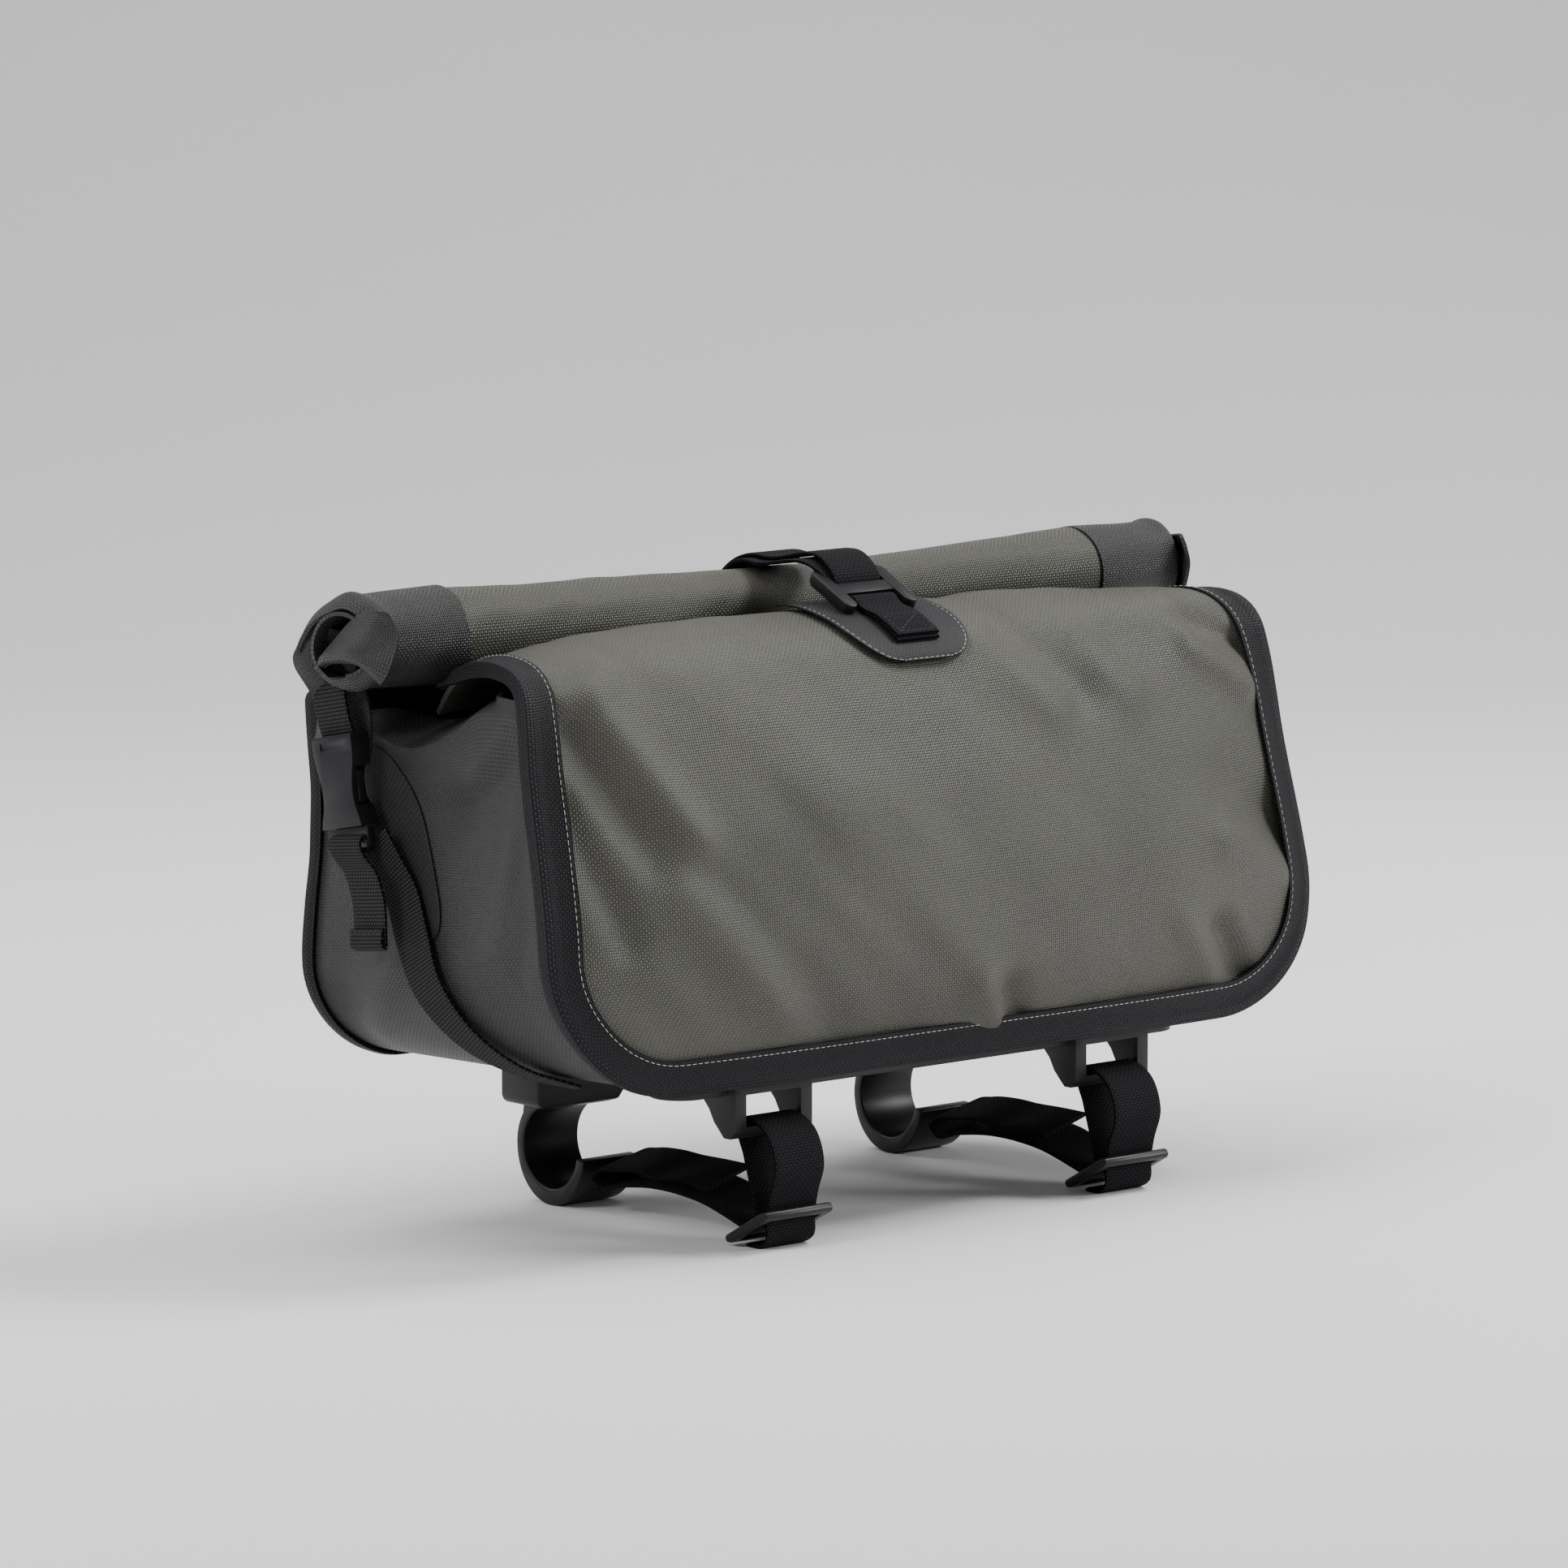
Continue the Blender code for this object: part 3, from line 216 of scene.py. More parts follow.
def fold_lines(table, x, z):
    """Height of a table of folds at places (x, z): each is a ridge or groove that fades at its ends."""
    total = np.zeros(np.broadcast(x, z).shape)
    for x0, z0, x1, z1, width, height in table:
        dx, dz = x1 - x0, z1 - z0
        length = math.hypot(dx, dz)
        along = ((x - x0) * dx + (z - z0) * dz) / length ** 2
        across = np.abs((x - x0) * dz - (z - z0) * dx) / length
        beyond = np.maximum(np.maximum(-along, along - 1.0), 0.0) * length
        distance = np.hypot(across, beyond)
        total = total + height * np.exp(-(distance / width) ** 2)
    return total


def normals(grid):
    """Unit normals of a grid of points."""
    du = np.gradient(grid, axis=0)
    dv = np.gradient(grid, axis=1)
    n = np.cross(du, dv)
    return n / np.maximum(np.linalg.norm(n, axis=2, keepdims=True), 1e-9)


def arc_lengths(grid, axis):
    """Millimetres along one way of a grid, averaged over the other way."""
    steps = np.linalg.norm(np.diff(grid, axis=axis), axis=2)
    mean = steps.mean(axis=1 - axis)
    return np.concatenate([[0.0], np.cumsum(mean)])


def new_material(name):
    """Empty material with its Principled shader."""
    mat = bpy.data.materials.new(name)
    mat.use_nodes = True
    shader = mat.node_tree.nodes["Principled BSDF"]
    return mat, mat.node_tree, shader


def math_node(tree, operation, first, second=None):
    """Math node; each input is a socket or a number."""
    node = tree.nodes.new("ShaderNodeMath")
    node.operation = operation
    for socket, value in zip(node.inputs, (first, second)):
        if value is None:
            continue
        if isinstance(value, (int, float)):
            socket.default_value = value
        else:
            tree.links.new(value, socket)
    return node.outputs[0]


def flat_coordinates(tree):
    """The piece's flat coordinates in millimetres, as two sockets."""
    coords = tree.nodes.new("ShaderNodeUVMap")
    split = tree.nodes.new("ShaderNodeSeparateXYZ")
    tree.links.new(coords.outputs["UV"], split.inputs[0])
    return split.outputs[0], split.outputs[1]


def rib(tree, socket, pitch):
    """Round ribs between 0 and 1 at a pitch in millimetres."""
    wave = math_node(tree, "SINE", math_node(tree, "MULTIPLY", socket, math.pi / pitch))
    return math_node(tree, "ABSOLUTE", wave), math_node(tree, "GREATER_THAN", wave, 0.0)


def weave_height(tree, pitch_u, pitch_v):
    """Height of a plain weave between 0 and 1: threads pass over and under each other."""
    u, v = flat_coordinates(tree)
    across, odd_u = rib(tree, u, pitch_u)
    along, odd_v = rib(tree, v, pitch_v)
    parity = math_node(tree, "ABSOLUTE", math_node(tree, "SUBTRACT", odd_u, odd_v))
    mix = tree.nodes.new("ShaderNodeMix")
    tree.links.new(parity, mix.inputs["Factor"])
    warp = math_node(tree, "MULTIPLY", across, math_node(tree, "ADD", math_node(tree, "MULTIPLY", along, 0.7), 0.3))
    weft = math_node(tree, "MULTIPLY", along, math_node(tree, "ADD", math_node(tree, "MULTIPLY", across, 0.2), 0.35))
    tree.links.new(warp, mix.inputs["A"])
    tree.links.new(weft, mix.inputs["B"])
    return mix.outputs["Result"]


def object_noise(tree, scale, detail=3.0):
    """Noise in the object's own place, with features of about 1 / scale metres."""
    coords = tree.nodes.new("ShaderNodeTexCoord")
    noise = tree.nodes.new("ShaderNodeTexNoise")
    noise.inputs["Scale"].default_value = scale
    noise.inputs["Detail"].default_value = detail
    tree.links.new(coords.outputs["Object"], noise.inputs["Vector"])
    return noise.outputs["Fac"]


def bump(tree, shader, height, strength, distance, under=None):
    """Bump from a height into the shader, on top of another bump."""
    node = tree.nodes.new("ShaderNodeBump")
    node.inputs["Strength"].default_value = strength
    node.inputs["Distance"].default_value = distance
    tree.links.new(height, node.inputs["Height"])
    if under is not None:
        tree.links.new(under, node.inputs["Normal"])
    tree.links.new(node.outputs["Normal"], shader.inputs["Normal"])
    return node.outputs["Normal"]


def ramp(tree, socket, stops):
    """Colour ramp from (place, colour) stops."""
    node = tree.nodes.new("ShaderNodeValToRGB")
    ends = node.color_ramp.elements
    for number, (at, colour) in enumerate(stops):
        stop = ends[number] if number < 2 else ends.new(at)
        stop.position = at
        stop.color = (*colour, 1.0)
    tree.links.new(socket, node.inputs["Fac"])
    return node.outputs["Color"]


def cloth_material(name, low, high, rough, pitch, depth, gloss):
    """Coated plain-weave cloth: low is painted shade between the threads, high the colour on the thread tops."""
    mat, tree, shader = new_material(name)
    height = weave_height(tree, pitch, pitch)
    grain = object_noise(tree, 900.0)
    cloud = object_noise(tree, 14.0, 2.0)
    # Colour follows the weave height: painted shade in the hollows between threads, with random tone from the noise.
    shade = math_node(tree, "ADD", math_node(tree, "MULTIPLY", height, 0.62),
                      math_node(tree, "MULTIPLY", math_node(tree, "ADD", grain, cloud), 0.22))
    tree.links.new(ramp(tree, shade, ((0.20, low), (0.70, high))), shader.inputs["Base Color"])
    worn = math_node(tree, "ADD", math_node(tree, "MULTIPLY", cloud, 0.16),
                     math_node(tree, "MULTIPLY", height, -0.10))
    tree.links.new(math_node(tree, "ADD", worn, rough), shader.inputs["Roughness"])
    shader.inputs["Specular IOR Level"].default_value = gloss
    soft = bump(tree, shader, cloud, 0.25, 0.002)
    bump(tree, shader, height, 0.85, depth * MM, soft)
    return mat


def webbing_material(name, low, high, pitch_u, pitch_v):
    """Webbing of raised threads, with a pitch across the strap and one along it; low is painted shade between the
    threads, high the colour on them.
    """
    mat, tree, shader = new_material(name)
    height = weave_height(tree, pitch_u, pitch_v)
    grain = object_noise(tree, 1800.0)
    # Colour follows the thread height: painted shade in the hollows between the raised threads, with random tone from
    # the grain.
    shade = math_node(tree, "ADD", height, math_node(tree, "MULTIPLY", grain, 0.25))
    tree.links.new(ramp(tree, shade, ((0.25, low), (1.0, high))), shader.inputs["Base Color"])
    shader.inputs["Roughness"].default_value = 0.72
    shader.inputs["Specular IOR Level"].default_value = 0.08
    bump(tree, shader, height, 1.0, 0.30 * MM)
    return mat


def plastic_material(name, colour, rough):
    """Moulded plastic with a fine spark-eroded grain."""
    mat, tree, shader = new_material(name)
    fine = object_noise(tree, 2600.0, 2.0)
    broad = object_noise(tree, 60.0, 2.0)
    dark = tuple(c * 0.75 for c in colour)
    tree.links.new(ramp(tree, broad, ((0.3, dark), (0.7, colour))), shader.inputs["Base Color"])
    gloss = math_node(tree, "ADD", math_node(tree, "MULTIPLY", broad, 0.12), rough)
    tree.links.new(gloss, shader.inputs["Roughness"])
    shader.inputs["Specular IOR Level"].default_value = 0.30
    bump(tree, shader, fine, 0.5, 0.12 * MM)
    return mat


def thread_material(name, colour):
    """Sewing thread with a twist."""
    mat, tree, shader = new_material(name)
    twist = object_noise(tree, 3000.0, 2.0)
    pale = tuple(min(1.0, c * 1.25) for c in colour)
    tree.links.new(ramp(tree, twist, ((0.3, colour), (0.7, pale))), shader.inputs["Base Color"])
    shader.inputs["Roughness"].default_value = 0.7
    bump(tree, shader, twist, 0.6, 0.1 * MM)
    return mat


def studio_material(name, colour):
    """Pale matt paper of the studio sweep."""
    mat, tree, shader = new_material(name)
    cloud = object_noise(tree, 1.3, 2.0)
    pale = tuple(min(1.0, c * 1.03) for c in colour)
    tree.links.new(ramp(tree, cloud, ((0.35, colour), (0.65, pale))), shader.inputs["Base Color"])
    shader.inputs["Roughness"].default_value = 0.9
    shader.inputs["Specular IOR Level"].default_value = 0.15
    bump(tree, shader, object_noise(tree, 400.0), 0.05, 0.2 * MM)
    return mat


# Each cloth and webbing takes two colours: the first is painted shade between the threads, the second the colour on the
# thread tops.
OLIVE = cloth_material("olive_coated_cloth", (0.012, 0.012, 0.009), (0.120, 0.119, 0.098), 0.40, 1.05, 0.34, 0.32)
DARK = cloth_material("charcoal_coated_cloth", (0.002, 0.002, 0.003), (0.052, 0.050, 0.051), 0.40, 1.05, 0.42, 0.34)
TAPE = cloth_material("binding_tape_cloth", (0.001, 0.001, 0.002), (0.018, 0.016, 0.019), 0.42, 1.05, 0.34, 0.14)
PATCH_CLOTH = cloth_material("patch_cloth", (0.003, 0.003, 0.004), (0.034, 0.032, 0.035), 0.46, 1.05, 0.20, 0.20)
WEB = webbing_material("dotted_webbing", (0.001, 0.001, 0.002), (0.026, 0.025, 0.028), 1.15, 1.15)
RIBBED_WEB = webbing_material("ribbed_webbing", (0.001, 0.001, 0.002), (0.060, 0.058, 0.060), 0.85, 1.45)
PLASTIC = plastic_material("grained_plastic", (0.014, 0.013, 0.015), 0.38)
SMOOTH_PLASTIC = plastic_material("smooth_plastic", (0.010, 0.009, 0.011), 0.30)
PALE_THREAD = thread_material("pale_thread", (0.42, 0.41, 0.37))
DARK_THREAD = thread_material("dark_thread", (0.03, 0.03, 0.033))


def finish_piece(name, mesh, mat, nodes, sharp=40.0):
    """Link a mesh as a piece that rides on the bag and stands for frame nodes."""
    mesh.materials.append(mat)
    piece = bpy.data.objects.new(name, mesh)
    bpy.context.collection.objects.link(piece)
    mesh.shade_smooth()
    mesh.set_sharp_from_angle(angle=math.radians(sharp))
    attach(piece, "root")
    if nodes:
        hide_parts(*nodes)
    return piece


def skin(name, grid, thick, mat, nodes=()):
    """Sheet of cloth between a grid and its copy moved by thick along its normals."""
    grid = np.asarray(grid, float)
    piece = wrap(name, grid, grid + normals(grid) * thick, mat, nodes)
    return piece


def webbing(name, path, width, across, nodes=(), mat=None, step=1.2, columns=13):
    """Flat webbing along a path; across is its width direction, one vector or one per path point."""
    spots = np.asarray(path, float)
    length = np.linalg.norm(np.diff(spots, axis=0), axis=1).sum()
    count = max(8, int(length / step))
    line = through(spots, count)
    side = np.asarray(across, float)
    if side.ndim == 1:
        side = np.tile(side, (len(spots), 1))
    side = through(spots, count, side)
    side /= np.linalg.norm(side, axis=1, keepdims=True)
    reach = np.sin(np.linspace(-1.0, 1.0, columns) * math.pi / 2) * width / 2
    grid = line[:, None, :] + side[:, None, :] * reach[None, :, None]
    edge = np.clip((np.abs(reach) - width / 2 + 1.2) / 1.2, 0.0, 1.0) ** 2
    body = WEB_THICK * (1.0 - 0.45 * edge)
    face = normals(grid)
    low = grid - face * body[None, :, None] / 2
    high = grid + face * body[None, :, None] / 2
    return wrap(name, low, high, mat or WEB, nodes)


def wrap(name, low, high, mat, nodes=(), sharp=60.0):
    """Closed piece between two grids of points, with flat coordinates in millimetres."""
    n, m = low.shape[:2]
    size = n * m
    index = np.arange(size).reshape(n, m)
    a, b, c, d = index[:-1, :-1], index[:-1, 1:], index[1:, 1:], index[1:, :-1]
    near = np.stack([a, b, c, d], axis=-1).reshape(-1, 4)
    faces = [near, near[:, ::-1] + size]
    for edge, flip in ((index[:, 0], False), (index[:, -1], True), (index[0, :], True), (index[-1, :], False)):
        start, end = (edge[:-1], edge[1:])
        quads = np.stack([start, end, end + size, start + size], axis=-1)
        faces.append(quads[:, ::-1] if flip else quads)
    mesh = bpy.data.meshes.new(name)
    verts = np.concatenate([low.reshape(-1, 3), high.reshape(-1, 3)]) * MM
    mesh.from_pydata(verts.tolist(), [], np.concatenate(faces).tolist())
    u, v = np.meshgrid(arc_lengths(low, 1), arc_lengths(low, 0))
    flat = np.stack([u.ravel(), v.ravel()], axis=1)
    flat = np.concatenate([flat, flat])
    layer = mesh.uv_layers.new(name="flat")
    corners = np.empty(len(mesh.loops), dtype=np.int32)
    mesh.loops.foreach_get("vertex_index", corners)
    layer.data.foreach_set("uv", flat[corners].ravel())
    bm = bmesh.new()
    bm.from_mesh(mesh)
    bmesh.ops.recalc_face_normals(bm, faces=bm.faces)
    bm.to_mesh(mesh)
    bm.free()
    return finish_piece(name, mesh, mat, nodes, sharp)


# Gusset tuck under the roll: the fold reaches inwards by its share of TUCK_DEPTH,
# from the height share of its lip to the height share of its inner end
TUCK_DEPTH = 27.0
TUCK = (
    # depth share, fold share, lip height, inner height
    (0.00, 0.00, 0.860, 0.895),
    (0.12, 0.05, 0.860, 0.900),
    (0.22, 0.75, 0.850, 0.905),
    (0.35, 1.00, 0.800, 0.880),
    (0.50, 1.00, 0.755, 0.820),
    (0.65, 0.95, 0.755, 0.800),
    (0.80, 0.55, 0.785, 0.820),
    (0.92, 0.10, 0.765, 0.795),
    (1.00, 0.00, 0.755, 0.775),
)

# Folds on the left gusset, as (y, z) from the front edge and from the base
GUSSET_FOLDS = (
    # y0, z0, y1, z1, width, height
    (30.0, 146.0, 62.0, 118.0, 7.0, 2.6),
    (40.0, 128.0, 74.0, 104.0, 9.0, -2.4),
    (22.0, 122.0, 30.0, 84.0, 7.0, -1.8),
    (28.0, 112.0, 44.0, 60.0, 10.0, 1.8),
    (14.0, 84.0, 26.0, 50.0, 8.0, -1.4),
    (90.0, 130.0, 118.0, 96.0, 12.0, 1.4),
    (120.0, 60.0, 142.0, 24.0, 12.0, -1.6),
    (100.0, 50.0, 128.0, 14.0, 10.0, 1.4),
)

# Outer flap at the open end of the roll: angle in degrees from +Y, radius share of ROLL_RADIUS
ROLL_END = (
    (-150.0, 0.90),
    (-110.0, 0.86),
    (-60.0, 1.02),
    (-20.0, 1.42),
    (15.0, 1.10),
    (50.0, 0.92),
    (85.0, 0.94),
    (120.0, 0.98),
    (160.0, 1.02),
    (210.0, 0.90),
)


def half_length(z_share, corner):
    """Half length of the body at a share of the shoulder height, above a round bottom corner."""
    flat = HALF * smooth(column(OUTLINE, 0), column(OUTLINE, 1), z_share)
    rise = np.asarray(z_share) * SHOULDER_RISE
    lift = np.clip(1.0 - rise / corner, 0.0, 1.0)
    return flat - corner * (1.0 - np.sqrt(1.0 - lift ** 2))


def corner_radius(depth):
    """Radius of the bottom corner at a share of the body's depth, larger at the front."""
    return FRONT_CORNER + (BACK_CORNER - FRONT_CORNER) * np.clip(depth, 0.0, 1.0)


FRONT_LINE = np.linspace(0.0, len(FRONT) - 1.0, 301)
FRONT_HEIGHTS = smooth(range(len(FRONT)), column(FRONT, 0), FRONT_LINE)
FRONT_DEPTHS = smooth(range(len(FRONT)), column(FRONT, 1), FRONT_LINE)


def front_edge_y(z_share):
    """Y of the front corner line at a height share, read from the same curve as the front panel."""
    top = int(np.argmax(FRONT_HEIGHTS))
    return BODY_FRONT + BODY_DEPTH * np.interp(z_share, FRONT_HEIGHTS[:top], FRONT_DEPTHS[:top])


def back_edge_y(z_share):
    """Y of the back corner line at a height share."""
    return BODY_FRONT + BODY_DEPTH * smooth(column(BACK_EDGE, 0), column(BACK_EDGE, 1), z_share)


def front_point(along, x_share):
    """Point of the front panel at shares along its profile and across its width."""
    index = np.asarray(along, float) * (len(FRONT) - 1)
    read = [smooth(range(len(FRONT)), column(FRONT, k), index) for k in range(4)]
    edge_z, edge_y, mid_z, mid_y = read
    crown = 1.0 - np.abs(x_share) ** 4
    peak = float(np.argmax(column(FRONT, 0)))
    lean = np.clip((index - peak) / (len(FRONT) - 1 - peak), 0.0, 1.0)
    mouth = ROLL_SEAM_X + BINDING_WIDTH
    half = half_length(edge_z, FRONT_CORNER)
    half = half + (mouth - half) * lean
    x = x_share * half
    y = BODY_FRONT + BODY_DEPTH * (edge_y + (mid_y - edge_y) * crown)
    z = BASE_Z + SHOULDER_RISE * (edge_z + (mid_z - edge_z) * crown)
    return np.stack(np.broadcast_arrays(x, y, z), axis=-1)


def roll_radius(x):
    """Outer radius of the roll at X, slimmer at the waist under the strap."""
    share = np.clip(np.abs(x) / ROLL_SEAM_X, 0.0, 1.0)
    return ROLL_WAIST + (ROLL_RADIUS - ROLL_WAIST) * share ** 1.5


def flap_share(x):
    """How far the open end's flap is formed at X, from 0 at the seam to 1 at the end."""
    return np.clip((np.abs(x) - ROLL_SEAM_X) / (ROLL_LENGTH / 2 - ROLL_SEAM_X), 0.0, 1.0)


def flap_radius(angle, x):
    """Outer radius of the roll at an angle in degrees from +Y, with the open end's flap."""
    wrapped = (np.asarray(angle) + 150.0) % 360.0 - 150.0
    shape = smooth(column(ROLL_END, 0), column(ROLL_END, 1), wrapped)
    return roll_radius(x) * (1.0 + (shape - 1.0) * flap_share(x))


BACK_TOP = (ROLL_Z - ROLL_RADIUS * 0.15 - 0.6 - BASE_Z) / SHOULDER_RISE
BACK_LEAN_FROM = 0.83
BACK_BELLY = (
    # height share, depth share beyond the edge line
    (0.00, 0.000),
    (0.30, 0.035),
    (0.60, 0.030),
    (0.82, -0.070),
)


def back_point(along, x_share):
    """Point of the back panel: up the back edge line, then forwards to the roll's outer layer."""
    share = np.asarray(along, float) * BACK_TOP
    crown = 1.0 - np.abs(x_share) ** 3
    belly = smooth(column(BACK_BELLY, 0), column(BACK_BELLY, 1), share)
    lean = np.clip((share - BACK_LEAN_FROM) / (BACK_TOP - BACK_LEAN_FROM), 0.0, 1.0)
    half = half_length(share, BACK_CORNER)
    half = half + (ROLL_SEAM_X + BINDING_WIDTH - half) * lean
    x = x_share * half
    y = back_edge_y(np.minimum(share, BACK_LEAN_FROM)) + BODY_DEPTH * belly * crown
    reach = ROLL_Y + flap_radius(ROLL_START, x) * math.cos(math.radians(ROLL_START))
    y = y + (reach - y) * lean ** 1.15
    return np.stack(np.broadcast_arrays(x, y, BASE_Z + SHOULDER_RISE * share), axis=-1)


def panel_grid(point, count, columns):
    """Grid of a panel's points, a little closer near its two sides."""
    even = np.linspace(-1.0, 1.0, columns)
    across = 0.6 * even + 0.4 * np.sin(even * math.pi / 2)
    along = np.linspace(0.0, 1.0, count)[:, None]
    return point(along, across[None, :])


def edge_fade(grid, reach):
    """0 at a panel's two sides and bottom, rising to 1 within a reach in millimetres."""
    half = np.abs(grid[:, :1, 0])
    side = (half - np.abs(grid[:, :, 0])) / reach
    steps = np.linalg.norm(np.diff(grid[:, grid.shape[1] // 2], axis=0), axis=1)
    down = np.concatenate([[0.0], np.cumsum(steps)])[:, None] / reach
    return ease(np.minimum(side, down))


def front_relief(x, z):
    """How far the front cloth stands out of its plain shape at a place, from its folds and slack."""
    slack = lattice_noise(x / 46.0 + 9.0, z / 34.0 + 3.0, 5) * 0.8
    slack = slack + lattice_noise((x + z) / 18.0 + 20.0, (x - z) / 60.0 + 30.0, 8) * 0.35
    return slack + fold_lines(FRONT_FOLDS, x, z)


def front_panel():
    """Olive front cloth with its folds."""
    grid = panel_grid(front_point, 170, 230)
    out = normals(grid)
    relief = 1.5 * front_relief(grid[:, :, 0], grid[:, :, 2] - BASE_Z) * edge_fade(grid, 16.0)
    top = ease(np.linspace(1.0, 0.0, 170) / 0.18)[:, None]
    grid = grid - out * (relief * top)[:, :, None] * np.sign(out[10, 115, 1])
    return skin("front_cloth", grid, WALL, OLIVE, ("front_panel",))


def back_panel():
    """Olive back cloth, fuller in the middle, with slack folds."""
    grid = panel_grid(back_point, 110, 170)
    out = normals(grid)
    x, z = grid[:, :, 0], grid[:, :, 2] - BASE_Z
    relief = lattice_noise(x / 50.0 + 40.0, z / 36.0 + 5.0, 11) * 1.3
    relief = relief + lattice_noise((x - z) / 20.0 + 20.0, (x + z) / 70.0 + 30.0, 12) * 0.5
    fade = edge_fade(grid, 22.0) * ease(np.linspace(1.0, 0.0, 110) / 0.25)[:, None]
    grid = grid - out * (relief * fade)[:, :, None]
    return skin("back_cloth", grid, -WALL, OLIVE, ("back_panel",))


def gusset_swell(share, depth):
    """How far the gusset stands out between its two seams: full below, drawn in above."""
    return 3.0 * np.sin(math.pi * depth) * np.minimum(1.0, share / 0.3) * np.clip(0.5 - share, -0.2, 0.5)


def gusset_row(side, depth, share, inward):
    """One row of a gusset across the bag's depth, moved inwards."""
    front = front_edge_y(share) + (WALL + GAP) * (1.0 + 0.6 * np.clip((share - 0.8) / 0.1, 0.0, 1.0))
    back = back_edge_y(share) - (WALL + GAP) * (1.0 + 0.8 * np.clip((share - 0.68) / 0.08, 0.0, 1.0))
    y = front + (back - front) * depth
    x = half_length(share, corner_radius(depth)) - inward + gusset_swell(share, depth)
    return np.stack([side * x, y, BASE_Z + SHOULDER_RISE * share], axis=1)


WALL_TOP = 0.70
TUCK_STEPS = (
    # share inwards, share of the rise from the lip to the inner end
    (1.00, 1.00),
    (0.86, 0.86),
    (0.72, 0.70),
    (0.56, 0.55),
    (0.40, 0.42),
    (0.24, 0.28),
    (0.12, 0.15),
    (0.04, 0.06),
    (0.00, 0.00),
)


def gusset(name, side, node):
    """Dark gusset on one end: side wall, tucked fold near the top, and the bottom corner."""
    columns = 110
    depth = np.linspace(0.0, 1.0, columns)
    fold = smooth(column(TUCK, 0), column(TUCK, 1), depth) * TUCK_DEPTH
    lip = smooth(column(TUCK, 0), column(TUCK, 2), depth)
    inner = smooth(column(TUCK, 0), column(TUCK, 3), depth)
    grid = []
    steps = np.linspace(0, len(TUCK_STEPS) - 1, 30)
    inwards = smooth(range(len(TUCK_STEPS)), column(TUCK_STEPS, 0), steps)
    rises = smooth(range(len(TUCK_STEPS)), column(TUCK_STEPS, 1), steps)
    for inward, rise in zip(inwards, rises):
        grid.append(gusset_row(side, depth, lip + (inner - lip) * rise, fold * inward))
    for rise in np.linspace(0.92, 0.0, 12):
        grid.append(gusset_row(side, depth, WALL_TOP + (lip - WALL_TOP) * rise, 0.0))
    corner = corner_radius(depth) / SHOULDER_RISE
    for drop in np.linspace(0.0, 1.0, 52)[1:]:
        grid.append(gusset_row(side, depth, WALL_TOP + (corner - WALL_TOP) * drop, 0.0))
    for turn in np.linspace(0.0, math.pi / 2, 30)[1:]:
        grid.append(gusset_row(side, depth, corner * (1.0 - math.sin(turn)), 0.0))
    front = front_edge_y(0.0) + WALL + GAP
    back = back_edge_y(0.0) - WALL - GAP
    last = grid[-1][:, 0]
    for share in np.linspace(0.0, 1.0, 6)[1:]:
        x = last + (side * (BASE_LENGTH / 2 + GAP) - last) * share
        grid.append(np.stack([x, front + (back - front) * depth, np.full(columns, BASE_Z)], axis=1))
    grid = np.array(grid)
    y = grid[:, :, 1] - BODY_FRONT
    z = grid[:, :, 2] - BASE_Z
    relief = fold_lines(GUSSET_FOLDS, y, z) + lattice_noise(y / 26.0 + 7.0, z / 26.0 + side + 2.0, 21) * 0.7
    seams = ease(np.minimum(depth, 1.0 - depth) / 0.12)[None, :]
    ends = ease((z - 1.0) / 14.0)
    out = normals(grid)
    out = out * side * np.sign(out[80, 50, 0])
    grid = grid + out * (relief * seams * ends)[:, :, None]
    flip = -1.0 if normals(grid)[80, 50, 0] * side > 0 else 1.0
    return skin(name, grid, flip * WALL, DARK, (node,))


def base_panel():
    """Dark bottom cloth between the gussets, with a little slack."""
    front = front_edge_y(0.0) + WALL + GAP
    back = back_edge_y(0.0) - WALL - GAP
    x, y = np.meshgrid(np.linspace(-BASE_LENGTH / 2, BASE_LENGTH / 2, 60), np.linspace(front, back, 30))
    slack = 0.4 * lattice_noise(x / 30.0 + 8.0, y / 30.0 + 8.0, 31)
    z = BASE_Z + np.maximum(0.0, slack)
    return skin("base_cloth", np.stack([x, y, z], axis=2), WALL, DARK, ("base_panel",))


TAPE_PROUD = GAP * 1.8


def corner_of(point):
    """Bottom corner radius of the panel that a point function describes."""
    return FRONT_CORNER if point is front_point else BACK_CORNER


def corner_shares(point, count):
    """Profile shares at even turns round a panel's bottom corner, from its top down to the seam."""
    along = np.linspace(0.0, 0.45, 400)
    heights = point(along, 1.0)[:, 2] - BASE_Z
    turns = np.linspace(0.0, math.pi / 2, count)
    return np.interp(corner_of(point) * (1.0 - np.sin(turns)), heights, along)


def on_panel(point, x, z):
    """Point of a panel above the place (x, z), for its upright part."""
    along = np.linspace(0.0, 0.62, 160)
    wide = np.maximum(point(along, 1.0)[:, 0], 1.0)
    line = point(along, np.clip(x / wide, -1.0, 1.0))
    order = np.argsort(line[:, 2])
    return np.array([x, np.interp(z, line[order, 2], line[order, 1]), z])


def way_out(point, along, x_share):
    """Unit vector out of a panel at a place on it."""
    over = point(along, x_share + 0.02) - point(along, x_share - 0.02)
    up = point(along + 0.01, x_share) - point(along - 0.01, x_share)
    out = np.cross(over, up)
    out = out if point is front_point else -out
    return out / np.linalg.norm(out)


def tape_edge(point, top, count):
    """Places (profile share, width share) down one side, along the bottom and up the other."""
    corner = corner_shares(point, 26)
    straight = np.linspace(corner[0], top, count)[::-1]
    down = np.concatenate([straight[:-1], corner])
    bottom = np.linspace(-1.0, 1.0, 150)[1:-1]
    left = [(share, -1.0) for share in down]
    right = [(share, 1.0) for share in down[::-1]]
    return left + [(0.0, x) for x in bottom] + right


